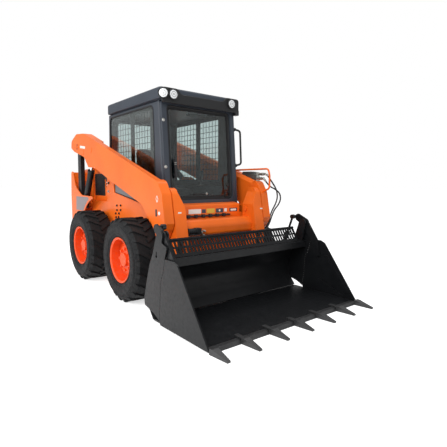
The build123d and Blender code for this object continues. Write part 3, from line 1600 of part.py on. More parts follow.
# Cutting edge with seven forged teeth.
with BuildPart() as cutting_edge:
    side_plate(
        (
            (LIP_Y - 10, 3, 0),
            (LIP_Y + 60 - SEAT_GAP, 3, 0),
            (LIP_Y + 60 - SEAT_GAP, 25, 0),
            (LIP_Y + 20, 25, 0),
        ),
        -BUCKET_X + SIDE_PLATE + 11,
        2 * (BUCKET_X - SIDE_PLATE - 11),
    )
    for i in range(TEETH):
        x = -BUCKET_X + TOOTH_W / 2 + i * (2 * BUCKET_X - TOOTH_W) / (TEETH - 1)
        with BuildSketch(Plane.XY.offset(2)):
            with BuildLine():
                Polyline(
                    (x - TOOTH_W / 2, LIP_Y - 2),
                    (x - TOOTH_W / 2 + 6, LIP_Y - 60),
                    (x - 14, TOOTH_TIP_Y),
                    (x + 14, TOOTH_TIP_Y),
                    (x + TOOTH_W / 2 - 6, LIP_Y - 60),
                    (x + TOOTH_W / 2, LIP_Y - 2),
                    close=True,
                )
            make_face()
        extrude(amount=50)
        if abs(x) < BUCKET_X - SIDE_PLATE - 40:
            box((x - 20, x + 20), (LIP_Y - 4, LIP_Y + 90), (FLOOR_Z + FLOOR_T, 40))
    # Wedge shape of every tooth: thick at the adapter, thin at the tip.
    side_plate(
        (
            (LIP_Y + 200, 45, 0),
            (LIP_Y - 30, 48, 0),
            (TOOTH_TIP_Y, 14, 0),
            (TOOTH_TIP_Y - 10, 14, 0),
            (TOOTH_TIP_Y - 10, 120, 0),
            (LIP_Y + 200, 120, 0),
        ),
        -BUCKET_X - 10,
        2 * BUCKET_X + 20,
        Mode.SUBTRACT,
    )
keep(cutting_edge.part, "cutting_edge")

CLAM_BORE_R = 20
CLAM_GLAND = 300
CLAM_ROD_R = 12
CLAM_TAIL = 135
with BuildPart() as clam_barrels:
    cylinder_barrel(CLAM_CYL_FOOT, CLAM_CYL_EYE, CLAM_CYL_X, CLAM_BORE_R, 4, CLAM_GLAND, 50, 16)
    mirror(about=Plane.YZ)
keep(clam_barrels.part, "clam_barrels")

with BuildPart() as clam_rods:
    cylinder_rod(CLAM_CYL_FOOT, CLAM_CYL_EYE, CLAM_CYL_X, CLAM_ROD_R, CLAM_BORE_R, CLAM_TAIL, 24, 36)
    mirror(about=Plane.YZ)
keep(clam_rods.part, "clam_rods")
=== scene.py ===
"""Looks of the skid steer loader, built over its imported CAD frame.

Metres, +Z up, the machine faces -Y and its left side is +X, as in the frame.
"""
import math
import bmesh
import bpy
from bpy.props import FloatProperty, FloatVectorProperty, PointerProperty
from mathutils import Matrix, Vector


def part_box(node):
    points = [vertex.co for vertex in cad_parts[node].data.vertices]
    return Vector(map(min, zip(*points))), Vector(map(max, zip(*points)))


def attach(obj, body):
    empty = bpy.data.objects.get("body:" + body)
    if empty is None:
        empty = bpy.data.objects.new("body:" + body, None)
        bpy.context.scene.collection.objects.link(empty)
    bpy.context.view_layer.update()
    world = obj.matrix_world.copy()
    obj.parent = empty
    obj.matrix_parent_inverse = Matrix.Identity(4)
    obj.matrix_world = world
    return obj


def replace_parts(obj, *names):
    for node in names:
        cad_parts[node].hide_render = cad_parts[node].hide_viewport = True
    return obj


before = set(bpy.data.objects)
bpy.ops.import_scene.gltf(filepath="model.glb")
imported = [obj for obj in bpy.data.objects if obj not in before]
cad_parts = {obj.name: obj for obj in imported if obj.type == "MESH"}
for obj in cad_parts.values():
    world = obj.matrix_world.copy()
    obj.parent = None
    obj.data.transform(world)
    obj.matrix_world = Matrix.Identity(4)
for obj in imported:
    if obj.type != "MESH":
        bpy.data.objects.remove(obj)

bl_info = {
    "name": "Skid Steer Loader Looks",
    "version": (1, 0, 0),
    "blender": (4, 5, 0),
    "location": "View3D > Sidebar > Loader",
    "description": "Dresses the frame of a skid steer loader and lights it in a studio",
    "category": "Object",
}

SIDES = (("right", -1), ("left", 1))
WHEELS = [(end, side, sign) for end in ("front", "rear") for side, sign in SIDES]
MATERIALS = {}


# ---- helpers
def srgb(code):
    """Linear colour of an sRGB hex value."""
    parts = [int(code[i : i + 2], 16) / 255 for i in (1, 3, 5)]
    return [c / 12.92 if c <= 0.04045 else ((c + 0.055) / 1.055) ** 2.4 for c in parts]


def rgba(colour):
    """Opaque colour from the first three parts of one."""
    return (*colour[:3], 1.0)


def fill(node, **inputs):
    """Sets or links a node's inputs, by name or as i0, i1."""
    for key, value in inputs.items():
        by_index = key[0] == "i" and key[1:].isdigit()
        socket = node.inputs[int(key[1:]) if by_index else key.replace("_", " ")]
        if isinstance(value, bpy.types.NodeSocket):
            node.id_data.links.new(value, socket)
        else:
            socket.default_value = value


def add_node(tree, kind, settings=None, **inputs):
    """Adds a node to a tree, sets its attributes and fills its inputs."""
    made = tree.nodes.new("ShaderNode" + kind)
    for key, value in (settings or {}).items():
        setattr(made, key, value)
    fill(made, **inputs)
    return made


def calculate(operation, first, second):
    """Product or maximum of a socket's value and another."""
    tree = first.id_data
    return add_node(tree, "Math", {"operation": operation}, i0=first, i1=second).outputs[0]


def empty_tree(owner):
    """Gives a material or a world an empty node tree."""
    owner.use_nodes = True
    owner.node_tree.nodes.clear()
    return owner.node_tree


def new_material(name, **shader_inputs):
    """A material with one shader; returns it, the shader and object coordinates."""
    made = bpy.data.materials.new(name)
    tree = empty_tree(made)
    shader = add_node(tree, "BsdfPrincipled", **shader_inputs)
    add_node(tree, "OutputMaterial", Surface=shader.outputs["BSDF"])
    place = add_node(tree, "TexCoord").outputs["Object"]
    return made, shader, place


def noise(place, size, detail=3.0, rough=0.5):
    """Noise whose blotches are about size metres across."""
    return add_node(
        place.id_data, "TexNoise", Vector=place, Scale=1 / size, Detail=detail, Roughness=rough
    ).outputs["Fac"]


def between(value, low, high, to_low=0.0, to_high=1.0):
    """Maps a value from one span to another, clamped."""
    return add_node(
        value.id_data, "MapRange",
        Value=value, From_Min=low, From_Max=high, To_Min=to_low, To_Max=to_high,
    ).outputs["Result"]


def mix_colour(share, first, second):
    """Blend of two colours by a share; a colour may be a value or a socket."""
    return add_node(
        share.id_data, "Mix", {"data_type": "RGBA"}, i0=share, i6=first, i7=second
    ).outputs[2]


def bump(shader, height, depth, strength):
    """Raises the surface by a height pattern, depth in metres."""
    made = add_node(shader.id_data, "Bump", Height=height, Distance=depth, Strength=strength)
    fill(shader, Normal=made.outputs["Normal"])


def add_object(name, data):
    """Puts an object into the scene."""
    made = bpy.data.objects.new(name, data)
    bpy.context.scene.collection.objects.link(made)
    return made


def finish_mesh(name, mesh, look, body="chassis", smooth_angle=35):
    """Turns a bmesh into a piece that rides on a body and has one finish."""
    data = bpy.data.meshes.new(name)
    bmesh.ops.recalc_face_normals(mesh, faces=mesh.faces)
    mesh.to_mesh(data)
    mesh.free()
    piece = add_object(name, data)
    data.materials.append(MATERIALS[look])
    data.shade_smooth()
    data.set_sharp_from_angle(angle=math.radians(smooth_angle))
    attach(piece, body)
    return piece


def turn_to(normal, spin=0.0):
    """Rotation that takes +Z to a direction."""
    turn = Vector(normal).to_track_quat("Z", "Y").to_matrix().to_4x4()
    return turn @ Matrix.Rotation(spin, 4, "Z")


def facing(origin, out):
    """Matrix of a plane that looks outward, its Y axis as near upright as it can be."""
    out = Vector(out).normalized()
    across = Vector((0, 0, 1)).cross(out).normalized()
    turn = Matrix((across, out.cross(across), out)).transposed().to_4x4()
    return Matrix.Translation(origin) @ turn


def facing_side(sign, x):
    """Matrix of the upright plane at x on the machine's left (+1) or right (-1) side."""
    return facing((sign * x, 0, 0), (sign, 0, 0))


def skin(mesh, loops, capped=True):
    """Joins loops of vertices into a shell: capped at both ends, or closed on itself."""
    for low, high in zip(loops, loops[1:] if capped else loops[1:] + loops[:1]):
        for i in range(len(low)):
            mesh.faces.new((low[i - 1], low[i], high[i], high[i - 1]))
    if capped:
        mesh.faces.new(loops[0][::-1])
        mesh.faces.new(loops[-1])


def place_loop(mesh, matrix, outline, height):
    """Puts a flat outline into the mesh, at a height over a matrix's plane."""
    return [mesh.verts.new(matrix @ Vector((x, y, height))) for x, y in outline]


def add_ring_stack(mesh, matrix, rings, sides):
    """Lofts circles of (radius, height) along a matrix's Z axis, with caps."""
    skin(mesh, [
        place_loop(mesh, matrix, circle(0, 0, radius, sides), height) for radius, height in rings
    ])


def add_bolt(mesh, centre, normal, across=0.019, spin=0.0):
    """Hex head on a plain washer, across its flats, seated on a surface."""
    matrix = Matrix.Translation(Vector(centre)) @ turn_to(normal, spin)
    r = across / math.sqrt(3)
    washer = 0.0024
    add_ring_stack(
        mesh, matrix, ((r * 1.25, -0.001), (r * 1.25, washer * 0.75), (r * 1.15, washer)), 20
    )
    head = ((r, 0.001), (r, washer + across * 0.42), (r * 0.86, washer + across * 0.52))
    add_ring_stack(mesh, matrix, head, 6)


def add_block(mesh, low, high, edge):
    """Block between two corners with rounded edges."""
    made = bmesh.ops.create_cube(mesh, size=1.0)["verts"]
    for v in made:
        v.co = Vector([low[i] + (v.co[i] + 0.5) * (high[i] - low[i]) for i in range(3)])
    edges = list({e for v in made for e in v.link_edges})
    bmesh.ops.bevel(mesh, geom=edges, offset=edge, segments=3, profile=0.6, affect="EDGES")


def add_tube(mesh, points, radius, sides=14):
    """Round bar through points, with mitred turns and closed ends."""
    points = [Vector(p) for p in points]
    loops, up = [], Vector((0.0, 0.0, 1.0))
    for i, p in enumerate(points):
        before = (p - points[i - 1]).normalized() if i else None
        after = (points[i + 1] - p).normalized() if i + 1 < len(points) else None
        ahead = ((before or after) + (after or before)).normalized()
        if abs(ahead.dot(up)) > 0.95:
            up = Vector((1.0, 0.0, 0.0))
        side = ahead.cross(up).normalized()
        up = side.cross(ahead).normalized()
        stretch = 1 / max(0.4, ahead.dot(after or before))
        ring = circle(0, 0, radius, sides)
        loops.append([mesh.verts.new(p + side * (x * stretch) + up * y) for x, y in ring])
    skin(mesh, loops)


def bent(points, reach, steps=6):
    """A path through points, its corners rounded from a reach before to a reach after."""
    path = [Vector(points[0])]
    for before, here, after in zip(points, points[1:], points[2:]):
        before, here, after = Vector(before), Vector(here), Vector(after)
        start = here + (before - here).normalized() * reach
        end = here + (after - here).normalized() * reach
        for k in range(steps + 1):
            share = k / steps
            path.append(start.lerp(here, share).lerp(here.lerp(end, share), share))
    return path + [Vector(points[-1])]


def rounded(*corners, steps=6):
    """Closed outline through (x, y, radius) corners."""
    points = []
    for i, (x, y, radius) in enumerate(corners):
        here = Vector((x, y))
        back = (Vector(corners[i - 1][:2]) - here).normalized()
        ahead = (Vector(corners[(i + 1) % len(corners)][:2]) - here).normalized()
        half = back.angle(ahead) / 2
        middle = here + (back + ahead).normalized() * (radius / math.sin(half))
        start = here + back * (radius / math.tan(half)) - middle
        end = here + ahead * (radius / math.tan(half)) - middle
        first = math.atan2(start.y, start.x)
        turn = (math.atan2(end.y, end.x) - first + math.pi) % math.tau - math.pi
        for k in range(steps + 1):
            angle = first + turn * k / steps
            points.append(middle + radius * Vector((math.cos(angle), math.sin(angle))))
    return points


def rounded_box(low, high, radius):
    """Closed outline of a rectangle with rounded corners."""
    return rounded(
        (low[0], low[1], radius), (high[0], low[1], radius),
        (high[0], high[1], radius), (low[0], high[1], radius),
    )


def on_side(sign, corners, radius):
    """Closed outline through (depth, height) corners, as it lies on one side's plane."""
    return rounded(*((sign * y, z, radius) for y, z in corners))


def circle(x, y, radius, sides=28):
    """Closed round outline."""
    turns = [math.tau * i / sides for i in range(sides)]
    return [Vector((x + radius * math.cos(t), y + radius * math.sin(t))) for t in turns]


def sweep_outline(mesh, matrix, outline, profile, capped=True):
    """Carries (outward, height) steps round an outline: a capped plate, or a closed band."""
    area = sum(a.x * b.y - a.y * b.x for a, b in zip(outline, outline[1:] + outline[:1]))
    outline = outline if area > 0 else outline[::-1]
    nexts = outline[1:] + outline[:1]
    ways = [(after - outline[i - 1]).normalized() for i, after in enumerate(nexts)]
    loops = []
    for out, height in profile:
        moved = [(p.x + out * way.y, p.y - out * way.x) for p, way in zip(outline, ways)]
        loops.append(place_loop(mesh, matrix, moved, height))
    skin(mesh, loops, capped)


def loft_box(mesh, matrix, low, high, radius, profile):
    """Lofts a rectangle through (inset, height) steps, its corners rounded at each step."""
    loops = []
    for inset, height in profile:
        first, last = (low[0] + inset, low[1] + inset), (high[0] - inset, high[1] - inset)
        outline = rounded_box(first, last, max(radius - inset, 0.3 * radius))
        loops.append(place_loop(mesh, matrix, outline, height))
    skin(mesh, loops)


def add_plate(mesh, matrix, outline, near, far, edge=0.001):
    """Flat plate between two heights, its outer edge broken."""
    sweep_outline(mesh, matrix, outline, ((0, near), (0, far - edge), (-edge, far)))


def dress(look, *nodes):
    """Gives CAD nodes their finish; their shape stays."""
    for name in nodes:
        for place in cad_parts[name].material_slots:
            place.material = MATERIALS[look]


def box_of(name):
    """Corners of a CAD node's box as vectors."""
    low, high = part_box(name)
    return Vector(low), Vector(high)


# ---- settings
def angle(name, description, degrees):
    """A setting that holds an angle."""
    return FloatProperty(
        name=name, description=description, unit="ROTATION", default=math.radians(degrees)
    )


class LoaderStudio(bpy.types.PropertyGroup):
    """Camera, floor and light."""

    eye: FloatVectorProperty(
        name="Eye", description="Place of the camera", subtype="TRANSLATION", unit="LENGTH",
        default=(-2.3972, -3.6568, 1.1722),
    )
    heading: angle("Heading", "Camera's turn to the machine's left from straight back", 38.98)
    dip: angle("Dip", "Camera's tilt below the horizon", 6.23)
    roll: angle("Roll", "Camera's roll", 0.28)
    lens: FloatProperty(
        name="Lens", description="Focal length", unit="CAMERA", default=31.04
    )
    key_power: FloatProperty(
        name="Key Light", description="Power of the large soft lamp", unit="POWER", default=300.0
    )
    top_power: FloatProperty(
        name="Top Light", description="Power of the overhead lamp", unit="POWER", default=160.0
    )
    sky: FloatProperty(
        name="Sky", description="Strength of the light from all round", default=0.55, min=0.0
    )
    floor_glow: FloatProperty(
        name="Floor Glow", description="Share of the floor's whiteness that shadows don't take",
        default=0.62, min=0.0, max=1.0,
    )


def paint(name, description, code):
    """A setting that holds the colour of a finish."""
    return FloatVectorProperty(
        name=name, description=description, subtype="COLOR", default=srgb(code)
    )


class LoaderFinish(bpy.types.PropertyGroup):
    """Colours of the paints, the rubber and the glass."""

    enamel: paint("Body Enamel", "Orange of the frame, arms and lids", "#F46E1A")
    rim: paint("Rim Enamel", "Orange of the wheels", "#F05010")
    cab: paint("Cab Enamel", "Charcoal of the cab", "#3A4049")
    black: paint("Black Enamel", "Black of the bucket and the undercarriage", "#131416")
    rubber: paint("Tyre Rubber", "Black of the tyres", "#141517")
    glass: paint("Glass Tint", "Tint of the cab's panes", "#D3DEDD")


# ---- materials
def sprayed_enamel(name, colour, roughness=0.36, coat=0.1, gloss=0.3):
    """Sprayed gloss enamel on steel: an even colour with a soft orange-peel ripple."""
    made, shader, place = new_material(
        name, Roughness=roughness, IOR=1.5, Specular_IOR_Level=gloss,
        Coat_Weight=coat, Coat_Roughness=0.08,
    )
    cloud = noise(place, 0.35, 2.0)
    deep = [c * 0.86 for c in colour[:3]]
    base = mix_colour(between(cloud, 0.35, 0.65), rgba(deep), rgba(colour))
    # Fine dust settles in the lower parts and shows as a duller, paler film.
    height = add_node(place.id_data, "SeparateXYZ", Vector=place).outputs["Z"]
    low = between(height, 0.65, 0.15, 0.0, 0.30)
    grain = between(noise(place, 0.02, 4.0, 0.7), 0.45, 0.65)
    film = calculate("MULTIPLY", low, grain)
    wear = noise(place, 0.012, 3.0)
    fill(
        shader, Base_Color=mix_colour(film, base, rgba(srgb("#8C8178"))),
        Roughness=between(wear, 0.3, 0.7, roughness - 0.04, roughness + 0.07),
    )
    # Orange peel of about 6 mm.
    bump(shader, noise(place, 0.006, 1.0), 0.000175, 0.25)
    return made


def satin_black(name, colour, roughness=0.42, scuff=0.25, gloss=0.35):
    """Satin black enamel over rolled plate: slight mill waviness and dry scuffs."""
    made, shader, place = new_material(name, IOR=1.48, Specular_IOR_Level=gloss)
    cloud = between(noise(place, 0.12, 4.0, 0.6), 0.4, 0.7, 0.0, scuff)
    lighter = [min(1.0, c * 2.2 + 0.004) for c in colour[:3]]
    wear = noise(place, 0.03, 4.0, 0.65)
    fill(
        shader, Base_Color=mix_colour(cloud, rgba(colour), rgba(lighter)),
        Roughness=between(wear, 0.3, 0.7, roughness - 0.08, roughness + 0.12),
    )
    # Mill waves of about 9 mm.
    bump(shader, noise(place, 0.009, 2.0), 0.0003, 0.4)
    return made


def moulded_tyre_rubber(name, colour):
    """Moulded tyre rubber: deep matt black, with faint pale dust in patches."""
    made, shader, place = new_material(name, Roughness=0.72, IOR=1.5, Specular_IOR_Level=0.28)
    cloud = between(noise(place, 0.05, 5.0, 0.65), 0.42, 0.72, 0.0, 0.35)
    fill(
        shader, Base_Color=mix_colour(cloud, rgba(colour), rgba(srgb("#1F1E1D"))),
        Roughness=between(noise(place, 0.02, 3.0), 0.3, 0.7, 0.6, 0.85),
    )
    # Mould grain of about 1.5 mm.
    bump(shader, noise(place, 0.0015, 2.0), 0.0003, 0.35)
    return made


def hose_rubber(name, colour):
    """Smooth extruded hose cover: satin black with a faint cloth-wrap print."""
    made, shader, place = new_material(name, Roughness=0.45, IOR=1.5, Base_Color=rgba(colour))
    # Cloth print of about 2 mm.
    bump(shader, noise(place, 0.002, 1.0), 0.0002, 0.3)
    return made


def ground_steel(name, colour, low, high):
    """Ground steel rod, chromed or oiled: its gloss varies with faint grinding marks."""
    made, shader, place = new_material(name, Metallic=1.0, Base_Color=rgba(srgb(colour)))
    # Grinding marks of about 4 mm.
    marks = noise(place, 0.004, 4.0, 0.7)
    fill(shader, Roughness=between(marks, 0.3, 0.7, low, high))
    return made


def zinc_plate(name):
    """Zinc-plated steel of bolts and fittings: pale grey with a cloudy bloom."""
    made, shader, place = new_material(name, Metallic=1.0)
    # Bloom of about 6 mm.
    cloud = between(noise(place, 0.006, 3.0), 0.35, 0.65)
    fill(
        shader, Roughness=between(cloud, 0.0, 1.0, 0.3, 0.5),
        Base_Color=mix_colour(cloud, rgba(srgb("#9FA1A0")), rgba(srgb("#C4C3BB"))),
    )
    return made


def moulded_plastic(name, colour, roughness=0.5):
    """Injection-moulded plastic with a fine spark-eroded grain."""
    made, shader, place = new_material(name, IOR=1.49)
    shade = between(noise(place, 0.05, 3.0), 0.35, 0.7, 0.0, 0.3)
    lighter = [min(1.0, c * 1.6 + 0.003) for c in colour[:3]]
    wear = noise(place, 0.004, 2.0)
    fill(
        shader, Base_Color=mix_colour(shade, rgba(colour), rgba(lighter)),
        Roughness=between(wear, 0.3, 0.7, roughness - 0.06, roughness + 0.08),
    )
    # Grain of about 1 mm, drawn coarser than real so that it shows.
    bump(shader, noise(place, 0.001, 1.0), 0.00012, 0.3)
    return made


def tinted_pane(name, colour):
    """Tinted safety glass: clear, a little grey-green, with sharp reflections."""
    made, shader, place = new_material(
        name, IOR=1.45, Base_Color=rgba(colour), Transmission_Weight=1.0
    )
    # A wiped film in blotches of about 250 mm.
    film = between(noise(place, 0.25, 3.0), 0.4, 0.8, 0.0, 0.03)
    fill(shader, Roughness=film)
    return made


def lens_glass(name, colour):
    """Pressed lamp glass over a bright reflector: pale with upright flutes."""
    made, shader, place = new_material(
        name, Roughness=0.08, IOR=1.5, Base_Color=rgba(colour), Coat_Weight=1.0, Coat_Roughness=0.03
    )
    # Flutes of 24 mm: the wave turns 20 radians over a unit of its scale.
    flutes = add_node(
        place.id_data, "TexWave", {"bands_direction": "X"},
        Vector=place, Scale=math.tau / 20 / 0.023687,
    ).outputs["Fac"]
    bump(shader, flutes, 0.0006, 0.5)
    return made


def printed_film(name, colour):
    """Blank vinyl label film: satin, an even colour, faintly mottled."""
    made, shader, place = new_material(name, Roughness=0.4, IOR=1.5)
    # Mottling of about 10 mm.
    fade = between(noise(place, 0.01, 2.0), 0.3, 0.7, 0.0, 0.15)
    duller = [c * 0.7 for c in colour[:3]]
    fill(shader, Base_Color=mix_colour(fade, rgba(colour), rgba(duller)))
    return made


def seat_vinyl(name, colour):
    """Leather-grain vinyl, calendered: soft sheen and pebbles of about 3 mm."""
    made, shader, place = new_material(name, Roughness=0.55, IOR=1.48, Base_Color=rgba(colour))
    grain = add_node(place.id_data, "TexVoronoi", Vector=place, Scale=1 / 0.003)
    wear = noise(place, 0.06, 3.0)
    fill(shader, Roughness=between(wear, 0.3, 0.7, 0.46, 0.66))
    bump(shader, grain.outputs["Distance"], 0.0005, 0.4)
    return made


# Nodes of the frame that each finish dresses, apart from the wheels.
DRESSED = {
    "enamel": (
        "frame", "link_supports", "wing_plates", "rear_panels", "lift_arms", "hood", "front_sill",
    ),
    "cab": ("cab_shell", "cab_roof", "front_door", "grab_handle"),
    "black": (
        "axle_housings", "rear_bumper", "engine", "side_grilles", "tail_door", "rear_links",
        "front_links", "lift_barrels", "tilt_barrels", "clam_barrels", "side_screens",
        "cab_floor", "seat_box", "coupler", "swivel",
    ),
    "bucket": ("bucket_back", "bucket_guard", "clam"),
    "edge": ("cutting_edge",),
    "chrome": ("lift_rods", "tilt_rods"),
    "steel": ("clam_rods",),
    "zinc": ("aux_block", "aux_couplers"),
    "hose": ("front_fittings",),
    "plastic": ("door_handle", "wiper", "controls"),
    "glass": ("cab_glass",),
    "lens": ("work_lamps",),
    "red": ("rear_lamps",),
    "vinyl": ("seat",),
}
# Look, name and colour of each label film.
FILMS = (
    ("pale_label", "white label film", "#E9E7E0"), ("straw_label", "yellow label film", "#D8B23C"),
    ("grey_label", "grey label film", "#857A7C"), ("dark_label", "slate label film", "#333A46"),
)


class LOADER_OT_materials(bpy.types.Operator):
    """Makes the finishes and gives them to the frame's nodes."""

    bl_idname = "loader.materials"
    bl_label = "Finishes"

    def execute(self, context):
        f = context.scene.loader_finish
        m = MATERIALS
        m["enamel"] = sprayed_enamel("orange sprayed enamel", f.enamel)
        m["rim"] = sprayed_enamel("orange-red rim enamel", f.rim, 0.45, 0.0)
        m["cab"] = sprayed_enamel("charcoal satin enamel", f.cab, 0.42, 0.1)
        m["roof"] = sprayed_enamel("charcoal matt roof enamel", f.cab, 0.5, 0.05, 0.22)
        m["black"] = satin_black("black satin enamel", f.black)
        m["bucket"] = satin_black("black bucket enamel", f.black, 0.38, 0.2, 0.25)
        m["edge"] = satin_black("worn black edge enamel", srgb("#2C2C2D"), 0.34, 0.4, 0.45)
        m["rubber"] = moulded_tyre_rubber("moulded tyre rubber", f.rubber)
        m["chrome"] = ground_steel("hard chrome", "#D9DADC", 0.08, 0.2)
        m["steel"] = ground_steel("oiled ground steel", "#3A3B3D", 0.3, 0.5)
        m["zinc"] = zinc_plate("zinc plate")
        m["hose"] = hose_rubber("hydraulic hose rubber", f.rubber)
        m["plastic"] = moulded_plastic("black moulded plastic", srgb("#1C1D1F"))
        m["glass"] = tinted_pane("tinted safety glass", f.glass)
        m["cover"] = sprayed_enamel("grey satin enamel", srgb("#77797B"), 0.45, 0.0)
        m["black_polymer"] = moulded_plastic("matt black polymer", srgb("#101113"), 0.62)
        for key, name, code in FILMS:
            m[key] = printed_film(name, srgb(code))
        m["lens"] = lens_glass("pressed lamp glass", srgb("#E9ECEE"))
        m["red"] = lens_glass("red tail lens", srgb("#A3160F"))
        m["vinyl"] = seat_vinyl("black seat vinyl", srgb("#1F2022"))
        for look, nodes in DRESSED.items():
            dress(look, *nodes)
        for end, side, _ in WHEELS:
            dress("rubber", f"tyre_{end}_{side}")
            dress("rim", f"rim_{end}_{side}")
        return {"FINISHED"}


# ---- stage
SENSOR_WIDTH = 36.0
CLIP_END = 200.0
FLOOR_HALF = 60.0
# Name, place, size and property of each soft lamp, and its share of that property's power.
STUDIO_LAMPS = (
    ("key lamp", (-5.0, -4.2, 4.6), 4.0, "key_power", 1.0),
    ("top lamp", (0.5, 0.5, 6.0), 5.0, "top_power", 1.0),
    ("side lamp", (-5.5, 1.8, 2.6), 2.5, "key_power", 0.35),
)
LAMPS_AIM = (0.0, 0.0, 0.9)


class LOADER_OT_stage(bpy.types.Operator):
    """Sets up the camera, the pale floor and plain soft light."""

    bl_idname = "loader.stage"
    bl_label = "Studio"

    def execute(self, context):
        s, scene = context.scene.loader_studio, context.scene
        data = bpy.data.cameras.new("camera")
        data.lens, data.sensor_width, data.clip_end = s.lens, SENSOR_WIDTH, CLIP_END
        level = Vector((math.cos(s.heading), -math.sin(s.heading), 0.0))
        forward = Vector((
            math.sin(s.heading) * math.cos(s.dip),
            math.cos(s.heading) * math.cos(s.dip),
            -math.sin(s.dip),
        ))
        up = level.cross(forward)
        right = level * math.cos(s.roll) + up * math.sin(s.roll)
        turn = Matrix((right, right.cross(forward), -forward)).transposed().to_4x4()
        scene.camera = add_object("camera", data)
        scene.camera.matrix_world = Matrix.Translation(s.eye) @ turn
        scene.view_settings.view_transform = "Standard"

        sheet = bpy.data.meshes.new("floor")
        h = FLOOR_HALF
        sheet.from_pydata([(-h, -h, 0), (h, -h, 0), (h, h, 0), (-h, h, 0)], [], [(0, 1, 2, 3)])
        floor = add_object("floor", sheet)
        sheet.materials.append(self.floor_material(s.floor_glow))
        self.light_all_round(scene, s.sky)
        for name, place, size, power, share in STUDIO_LAMPS:
            lamp_data = bpy.data.lights.new(name, "AREA")
            lamp_data.energy, lamp_data.size = getattr(s, power) * share, size
            lamp = add_object(name, lamp_data)
            lamp.location = place
            aim = Vector(LAMPS_AIM) - lamp.location
            lamp.rotation_euler = aim.to_track_quat("-Z", "Y").to_euler()
        return {"FINISHED"}

    @staticmethod
    def floor_material(floor_glow):
        """Matt white floor that looks white to the eye and keeps the machine's shadow."""
        made = bpy.data.materials.new("white studio floor")
        tree = empty_tree(made)
        matt = add_node(tree, "BsdfDiffuse", Color=(0.8, 0.8, 0.8, 1.0))
        rays = add_node(tree, "LightPath").outputs
        seen = calculate("MAXIMUM", rays["Is Camera Ray"], rays["Is Glossy Ray"])
        seen = calculate("MAXIMUM", seen, rays["Is Transmission Ray"])
        share = calculate("MULTIPLY", seen, floor_glow)
        glow = add_node(tree, "Emission", Color=(1, 1, 1, 1), Strength=share)
        both = add_node(tree, "AddShader", i0=matt.outputs[0], i1=glow.outputs[0])
        add_node(tree, "OutputMaterial", Surface=both.outputs[0])
        return made

    @staticmethod
    def light_all_round(scene, sky):
        """Even light from all round, white where the eye or a pane sees it."""
        scene.world = bpy.data.worlds.new("studio")
        tree = empty_tree(scene.world)
        rays = add_node(tree, "LightPath").outputs
        seen = calculate("MAXIMUM", rays["Is Camera Ray"], rays["Is Transmission Ray"])
        dim = add_node(tree, "Background", Color=(1, 1, 1, 1), Strength=sky)
        white = add_node(tree, "Background", Color=(1, 1, 1, 1), Strength=1.0)
        both = add_node(
            tree, "MixShader", Fac=seen, i1=dim.outputs[0], i2=white.outputs[0]
        )
        add_node(tree, "OutputWorld", Surface=both.outputs[0])


# ---- hoses
HOSE_DIAMETER = 0.016
# The smooth curve passes inside its points. The points of each hose's route,
# from the coupler to the leg, by its node.
HOSES = {
    "aux_hose_upper": (
        (0.652, -0.655, 1.236), (0.725, -0.655, 1.165), (0.795, -0.655, 1.085),
        (0.815, -0.655, 1.000), (0.785, -0.655, 0.925), (0.735, -0.655, 0.862),
        (0.700, -0.652, 0.790), (0.690, -0.646, 0.722), (0.660, -0.640, 0.664),
        (0.602, -0.635, 0.640),
    ),
    "aux_hose_lower": (
        (0.618, -0.657, 1.178), (0.665, -0.672, 1.120), (0.742, -0.680, 1.092),
        (0.820, -0.680, 1.048), (0.842, -0.680, 0.980), (0.805, -0.680, 0.915),
        (0.745, -0.680, 0.868), (0.705, -0.678, 0.800), (0.678, -0.675, 0.725),
        (0.640, -0.675, 0.672), (0.602, -0.675, 0.650),
    ),
}


class LOADER_OT_hoses(bpy.types.Operator):
    """Lays the two auxiliary hoses of the left arm as smooth curves."""

    bl_idname = "loader.hoses"
    bl_label = "Hoses"

    def execute(self, context):
        for name, route in HOSES.items():
            curve = bpy.data.curves.new(name + "_curve", "CURVE")
            curve.dimensions = "3D"
            curve.bevel_depth = HOSE_DIAMETER / 2
            curve.bevel_resolution = 5
            curve.use_fill_caps = True
            spline = curve.splines.new("NURBS")
            spline.points.add(len(route) - 1)
            for point, place in zip(spline.points, route):
                point.co = (*place, 1.0)
            spline.order_u = 3
            spline.use_endpoint_u = True
            spline.resolution_u = 10
            piece = add_object(name + "_rubber", curve)
            curve.materials.append(MATERIALS["hose"])
            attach(piece, "arms")
            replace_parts(piece, name)
        return {"FINISHED"}


# ---- roof and lamps
ROOF_CORNER = 0.045
# Places of the stiffening ribs, their half width, and what they leave free at each end.
RIBS = (-0.30, -0.15, 0.0, 0.15, 0.30)
RIB_HALF, RIB_MARGIN = 0.032, 0.17
# Across, height and radius of the corners of the black bar under the roof's front edge: painted
# shade that stands for the dark recess there.
SHADE_BAR = (
    (-0.482, 1.925, 0.02), (0.482, 1.925, 0.02), (0.482, 2.068, 0.03), (0.31, 2.068, 0.045),
    (0.262, 2.020, 0.02), (-0.262, 2.020, 0.02), (-0.31, 2.068, 0.045), (-0.482, 2.068, 0.03),
)
LAMP_Z = 2.006
# Plan place of each lamp and its turn to the machine's left in degrees.
LAMPS = ((-0.367, -0.340, 0), (0.367, -0.340, 0), (-0.459, -0.336, -30))
